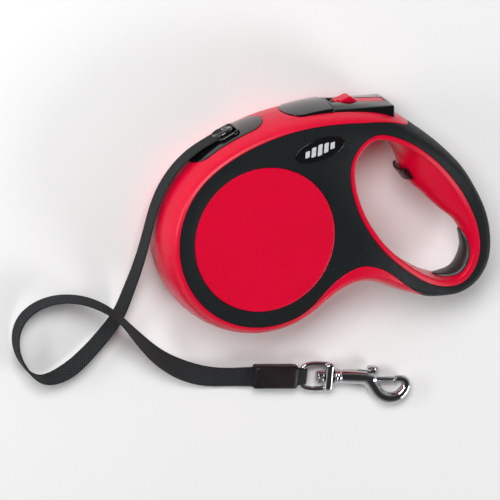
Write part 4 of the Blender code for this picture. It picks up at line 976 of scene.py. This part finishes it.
def make_lock_slider():
    """The slider with its thumb hump, and a notch in its front edge that clears the stud."""
    hump = ((46.9, -0.05), (47.4, 0.05), (49, 0.6), (51, 1.4), (53.2, 2.45), (54.4, 2.85), (55.4, 2.7),
            (56.8, 1.75), (58.2, 0.8), (59.4, 0.2), (60.6, 0.0), (66, 0), (74.4, 0.0), (74.7, -0.1))
    sections = []
    for x_mm, rise in hump:
        floor, crown = -1.5, rise - 0.12
        profile = rounded([Vector(p) for p in (
            (-4.0, floor, 0), (4.0, floor, 0), (4.0, crown - 0.1, 0), (3.2, crown, 0), (-3.2, crown, 0),
            (-4.0, crown - 0.1, 0))], 0.4, 3)
        top = button_top(x_mm * MM)
        sections.append([(x_mm * MM, top + p.y * MM, HALF + p.x * MM) for p in profile])
    obj = make_object("red_slider", loft(sections), "red_shell", 30)
    boolean(obj, box((46 * MM, 60 * MM, HALF + 1.6 * MM), (48.9 * MM, 75 * MM, HALF + 6 * MM)))
    place(obj, "lock", "lock_slider")


# ---------- tape and snap ----------

def local(bm):
    """A bmesh made in the snap's own millimetres, x along it from the eye to the hook, set in its place."""
    return mm(bm, SNAP)


def weave_height(along, across):
    fold = abs((across / WEAVE_FOLD) % 2 - 1) * WEAVE_FOLD
    return WEAVE_DEPTH * math.sin(2 * math.pi * (along + fold) / WEAVE_PITCH)


def woven(rings, marks):
    """A strip lofted through rings of points, whose UVs are each point's place on the weave, in mm."""
    bm = bmesh.new()
    layer = bm.loops.layers.uv.new("weave")
    loops = bridge_all(bm, rings)
    bm.faces.new(loops[0][::-1])
    bm.faces.new(loops[-1])
    where = {vert: uv for loop, mark in zip(loops, marks) for vert, uv in zip(loop, mark)}
    for face in bm.faces:
        for corner in face.loops:
            corner[layer].uv = where[corner.vert]
    return bm


def ribbon(name, middle, ahead, lean, widths, run, columns=31):
    """A strip of tape from its middle points, directions, lean from lying flat, half widths and run."""
    across = np.linspace(-1, 1, columns)
    rings, marks = [], []
    for point, direction, angle, half, along in zip(middle, ahead, lean, widths, run):
        side = Vector((-direction[1], direction[0], 0))
        width = side * math.cos(angle) + UP * math.sin(angle)
        out = Vector((direction[0], direction[1], 0)).cross(width).normalized()
        ring, mark = [], []
        for face in (1, -1):
            for t in across if face > 0 else across[::-1]:
                v = t * half / MM
                edge = (1 - abs(t) ** 14) ** 0.5
                rise = TAPE_T / 2 * (0.35 + 0.65 * edge) + edge * weave_height(along / MM, v + face * 0.4)
                ring.append(point + width * t * half + out * face * rise)
                mark.append((along / MM, v))
        rings.append(ring)
        marks.append(mark)
    return make_object(name, woven(rings, marks), "webbing", 60)


def make_tape(pieces):
    route = list(TAPE_ROUTE) + [(8.2, -87.17, 4.2, 180)]
    count = 1150
    even, direction = sample_curve(route, count, closed=False)
    middle = [Vector(p[:3]) * MM for p in even]
    run = np.concatenate([[0], np.cumsum([(b - a).length for a, b in zip(middle, middle[1:])])])
    tape = ribbon("tape", middle, direction, np.radians(even[:, 3]), [TAPE_W / 2] * count, run)
    place(tape, "housing", "leash_tape")


def make_lead_in():
    """The tape from the stopper's bar to the first point of its free run, up through the ring."""
    forward, out = outlet_frame()
    start = STOPPER_AT + forward * 1.0 * MM + out * 1.7 * MM
    end = Vector(TAPE_ROUTE[0][:3]) * MM
    parts = np.linspace(0, 1.05, 40)
    middle = [start.lerp(end, t) + out * 0.5 * MM * math.sin(math.pi * t) for t in parts]
    ahead = [np.array((end - start).normalized().xy)] * len(parts)
    run = [-(1.05 - t) * (end - start).length for t in parts]
    widths = [(4.0 + 1.5 * min(1, 1.3 * t)) * MM for t in parts]
    piece = ribbon("tape_end", middle, ahead, [math.pi / 2] * len(parts), widths, run)
    return place(piece, "housing")


def make_sleeve():
    """The shrunk rubber tube over the sewn end of the tape, with its wall showing at both ends."""
    low, high = SLEEVE_X
    end = ((1.2, 5.3, 2.7, 1.6), (0.1, 5.35, 2.8, 1.7), (0, 5.8, 3.2, 2.0), (0.5, 6.35, 3.75, 2.3),
           (2.5, 6.45, 3.9, 2.3))
    rows = [(low + inset, *sizes) for inset, *sizes in end] + [((low + high) / 2, 6.4, 3.85, 2.3)]
    rows += [(high - inset, *sizes) for inset, *sizes in reversed(end)]
    sections = [[(x, p.x, p.y) for p in rounded(corners_of(half_y, half_z), radius, 8)]
                for x, half_y, half_z, radius in rows]
    obj = make_object("shrink_sleeve", local(loft(sections)), "sleeve_rubber", 50)
    return place(obj, "housing", "tape_sleeve")


def make_fold():
    """The tape's end folded round the bar of the swivel eye."""
    count, inner, thick = 28, 1.75, 1.05
    start = SLEEVE_X[1] - 0.8
    path = [(start, inner + thick / 2)] + [
        (EYE_BAR_X + (inner + thick / 2) * math.cos(a), (inner + thick / 2) * math.sin(a))
        for a in np.radians(np.linspace(90, -90, count))] + [(start, -inner - thick / 2)]
    fine = []
    for (x0, z0), (x1, z1) in zip(path, path[1:]):
        for t in np.linspace(0, 1, 4 if math.hypot(x1 - x0, z1 - z0) < 1 else 14, endpoint=False):
            fine.append((x0 + (x1 - x0) * t, z0 + (z1 - z0) * t))
    run, rings, marks = 0.0, [], []
    for (xa, za), (x, z), (xb, zb) in zip(fine, fine[1:], fine[2:]):
        run += math.hypot(x - xa, z - za)
        normal = Vector((-(zb - za), 0, xb - xa)).normalized() * -1
        half = 4.1 + 1.0 * min(max((EYE_BAR_X - 1 - x) / 3, 0), 1)
        ring, mark = [], []
        for face in (1, -1):
            for t in np.linspace(-1, 1, 21)[::face]:
                v = t * half
                edge = (1 - abs(t) ** 12) ** 0.5
                rise = face * (thick / 2 * (0.4 + 0.6 * edge) + edge * weave_height(run, v) / MM)
                ring.append(Vector((x, v, z)) - normal * rise)
                mark.append((run, v))
        rings.append(ring)
        marks.append(mark)
    obj = make_object("folded_end", local(woven(rings, marks)), "webbing", 60)
    return place(obj, "housing", "tape_fold")


def tube_mesh(points, radii, sides=28, count=150, squash=1.0):
    """A round bar along a smooth path in the snap's own plane."""
    even, direction = sample_curve([(x, y, r) for (x, y), r in zip(points, radii)], count, closed=False)
    sections = []
    for (x, y, r), (dx, dy) in zip(even, direction):
        normal = Vector((-dy, dx, 0))
        sections.append([Vector((x, y, 0)) + normal * r * math.cos(a) + UP * r * squash * math.sin(a)
                         for a in np.linspace(0, 2 * math.pi, sides, endpoint=False)])
    return loft(sections)


def cast(name, parts, voxel, smooth, finish="chrome"):
    """Several closed solids grown into one casting, with softened junctions."""
    bm = bmesh.new()
    for part in parts:
        mesh = bpy.data.meshes.new("part")
        bmesh.ops.recalc_face_normals(part, faces=part.faces)
        part.to_mesh(mesh)
        part.free()
        bm.from_mesh(mesh)
        bpy.data.meshes.remove(mesh)
    obj = make_object(name, bm, finish)
    modify(obj, "REMESH", mode="VOXEL", voxel_size=voxel, use_smooth_shade=True)
    modify(obj, "SMOOTH", factor=0.5, iterations=smooth)
    return settle(obj, 60)


HOOK_BOW = (
    (24.5, -0.5, 3.8), (28.5, -1.0, 3.75), (31, -2.6, 3.6), (33.8, -5.8, 3.5), (36.4, -9, 3.4),
    (39.8, -11.4, 3.35), (44.3, -12.3, 3.3), (48.2, -11.3, 3.15), (51.3, -8.5, 2.9), (52.7, -4.9, 2.6),
    (51.6, -2.5, 2.35), (49.3, -1.6, 2.1), (46.0, -1.6, 1.9),
)


def make_eye():
    half = ((7.0, 6.6), (-4.6, 6.6), (-6.3, 6.1), (-8.0, 4.6), (-8.25, 3.4))
    points = half + tuple((x, -y) for x, y in reversed(half))
    bar = tube_mesh(points, [1.42] * len(points), 20, 120)
    boss = box((4.6, -7.9, -3.75), (9.4, 7.9, 3.75))
    bmesh.ops.bevel(boss, geom=boss.edges, offset=2.0, segments=6, affect="EDGES", profile=0.5)
    eye = cast("eye_casting", [local(bar), local(boss)], 0.2 * MM, 4)
    boolean(eye, local(rod(((2, 2.3), (12, 2.3)), axis="X", segments=32)))
    place(eye, "eye", "swivel_eye")
    rows = ((0.2, 2.3), (0.45, 2.9), (0.9, 3.25), (3.3, 3.3), (3.8, 3.0), (4.0, RIVET_R), (15.4, RIVET_R))
    rivet = local(rod(rows, axis="X", segments=96, flutes=10, flute_depth=0.32))
    rivet = make_object("fluted_rivet", rivet, "chrome", 30)
    place(rivet, "hook", "swivel_rivet")
    return [eye, rivet]


def make_hook():
    bow = tube_mesh([p[:2] for p in HOOK_BOW], [p[2] for p in HOOK_BOW])
    collar = rod(((9.9, 3.5), (10.2, 4.0), (10.6, 4.15), (11.2, 4.15), (11.5, 3.75), (11.8, 3.75),
                  (12.1, 4.1), (13.0, 4.1), (13.4, 3.7), (14.2, 3.3), (15.4, 3.5)), axis="X", segments=40)
    shank = ((14.2, 3.5, 0), (17, 3.85, -0.1), (21, 3.95, -0.2), (25, 3.95, -0.4), (29, 3.85, -0.7),
             (32.5, 3.4, -1.1), (34.6, 2.5, -1.5))
    turns = np.linspace(0, 2 * math.pi, 36)[:-1]
    sections = [[(x, drop + r * math.cos(a), r * math.sin(a)) for a in turns] for x, r, drop in shank]
    hook = cast("hook_casting", [local(bow), local(collar), local(loft(sections))], 0.22 * MM, 5)
    boolean(hook, local(rod(((8, 2.3), (16, 2.3)), axis="X", segments=28)))
    boolean(hook, local(rod(((18.5, BOLT_HOLE), (38.5, BOLT_HOLE)), (0, BOLT_Y, 0), "X", 28)))
    boolean(hook, local(box((23.6, BOLT_Y, -1.15), (36.5, 6, 1.15))))
    place(hook, "hook", "snap_hook")
    rows = ((27, 1.1), (27.2, 1.3), (44.6, 1.45), (45.1, 1.3), (45.25, 0.9))
    bolt = make_object("bolt_rod", local(rod(rows, (0, BOLT_Y, 0), "X", 32)), "chrome")
    boolean(bolt, local(box((31.5, BOLT_Y, -0.75), (33.7, 4.4, 0.75))), "UNION")
    rows = ((3.75, 2.4), (3.9, 2.9), (4.3, 3.2), (4.9, 3.2), (5.4, 2.8), (5.75, 2.1), (5.85, 1.2))
    boolean(bolt, local(rod(rows, (32.6, 0, 0), "Y", 40, 14, 0.22)), "UNION")
    place(bolt, "bolt", "snap_bolt")
    return [hook, bolt]


def coil(middle, axis, side, radius, wire, low, high, turns, per_turn=24):
    """A wire helix about the line through middle along axis."""
    up = axis.cross(side)
    sections = []
    for k in range(turns * per_turn + 1):
        a = 2 * math.pi * k / per_turn
        outward = side * math.cos(a) + up * math.sin(a)
        at = middle + axis * (low + (high - low) * k / (turns * per_turn)) + outward * radius
        sections.append([at + (outward * math.cos(b) + axis * math.sin(b)) * wire
                         for b in np.linspace(0, 2 * math.pi, 12, endpoint=False)])
    return loft(sections)


def make_springs():
    """The two coils that a moving part presses together: under the button's rear, and behind the bolt."""
    along_x, along_y = Vector((1, 0, 0)), Vector((0, 1, 0))
    middle = Vector((66 * MM, 0, HALF))
    press = coil(middle, along_y, along_x, 2.6 * MM, 0.4 * MM, *BUTTON_COIL, 4)
    press = make_object("button_coil", press, "spring_steel")
    place(press, "housing", "button_spring")
    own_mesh(press)
    turns = local(coil(Vector((0, BOLT_Y, 0)), along_x, along_y, 1.15, 0.22, *BOLT_COIL, 5))
    bolt = make_object("bolt_coil", turns, "spring_steel")
    place(bolt, "hook", "bolt_spring")
    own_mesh(bolt)
    return bolt


def finish_inner_nodes():
    """Gives each CAD node that lies inside the case its material."""
    inner = {
        "white_plastic": ("reel_spool", "reel_flange", "ratchet_ring"),
        "grey_plastic": ("spring_cover",),
        "webbing": ("wound_tape", "tape_lead_in"),
        "steel": ("reel_axle", "spring_arbor", "brake_pawl", "button_hinge_pin"),
        "spring_steel": ("main_spring",),
    }
    for finish, nodes in inner.items():
        for node in nodes:
            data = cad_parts[node].data
            data.materials.clear()
            data.materials.append(MATERIALS[finish])


make_camera()
make_materials()
make_stage()
OUTLINE, OUTWARD, EDGE, RIM_REACH = case_outline()
HOLE, INTO_HOLE, RIDGE, RING_W = hand_hole()

sleeve, fold = make_sleeve(), make_fold()
make_tape([sleeve, fold, make_lead_in()] + make_eye() + make_hook() + [make_springs()])
for side, half in ((1, "left"), (-1, "right")):
    make_shell(f"shell_{half}", side, f"housing_{half}")
    make_overlay(f"overlay_{half}", side, f"grip_overlay_{half}")
    make_badge(f"oval_badge_{half}", side, f"badge_{half}")
make_screws()
make_outlet()
make_stopper()
make_hand_band()
make_adjuster()
make_cover()
make_button()
make_lock_slider()
finish_inner_nodes()
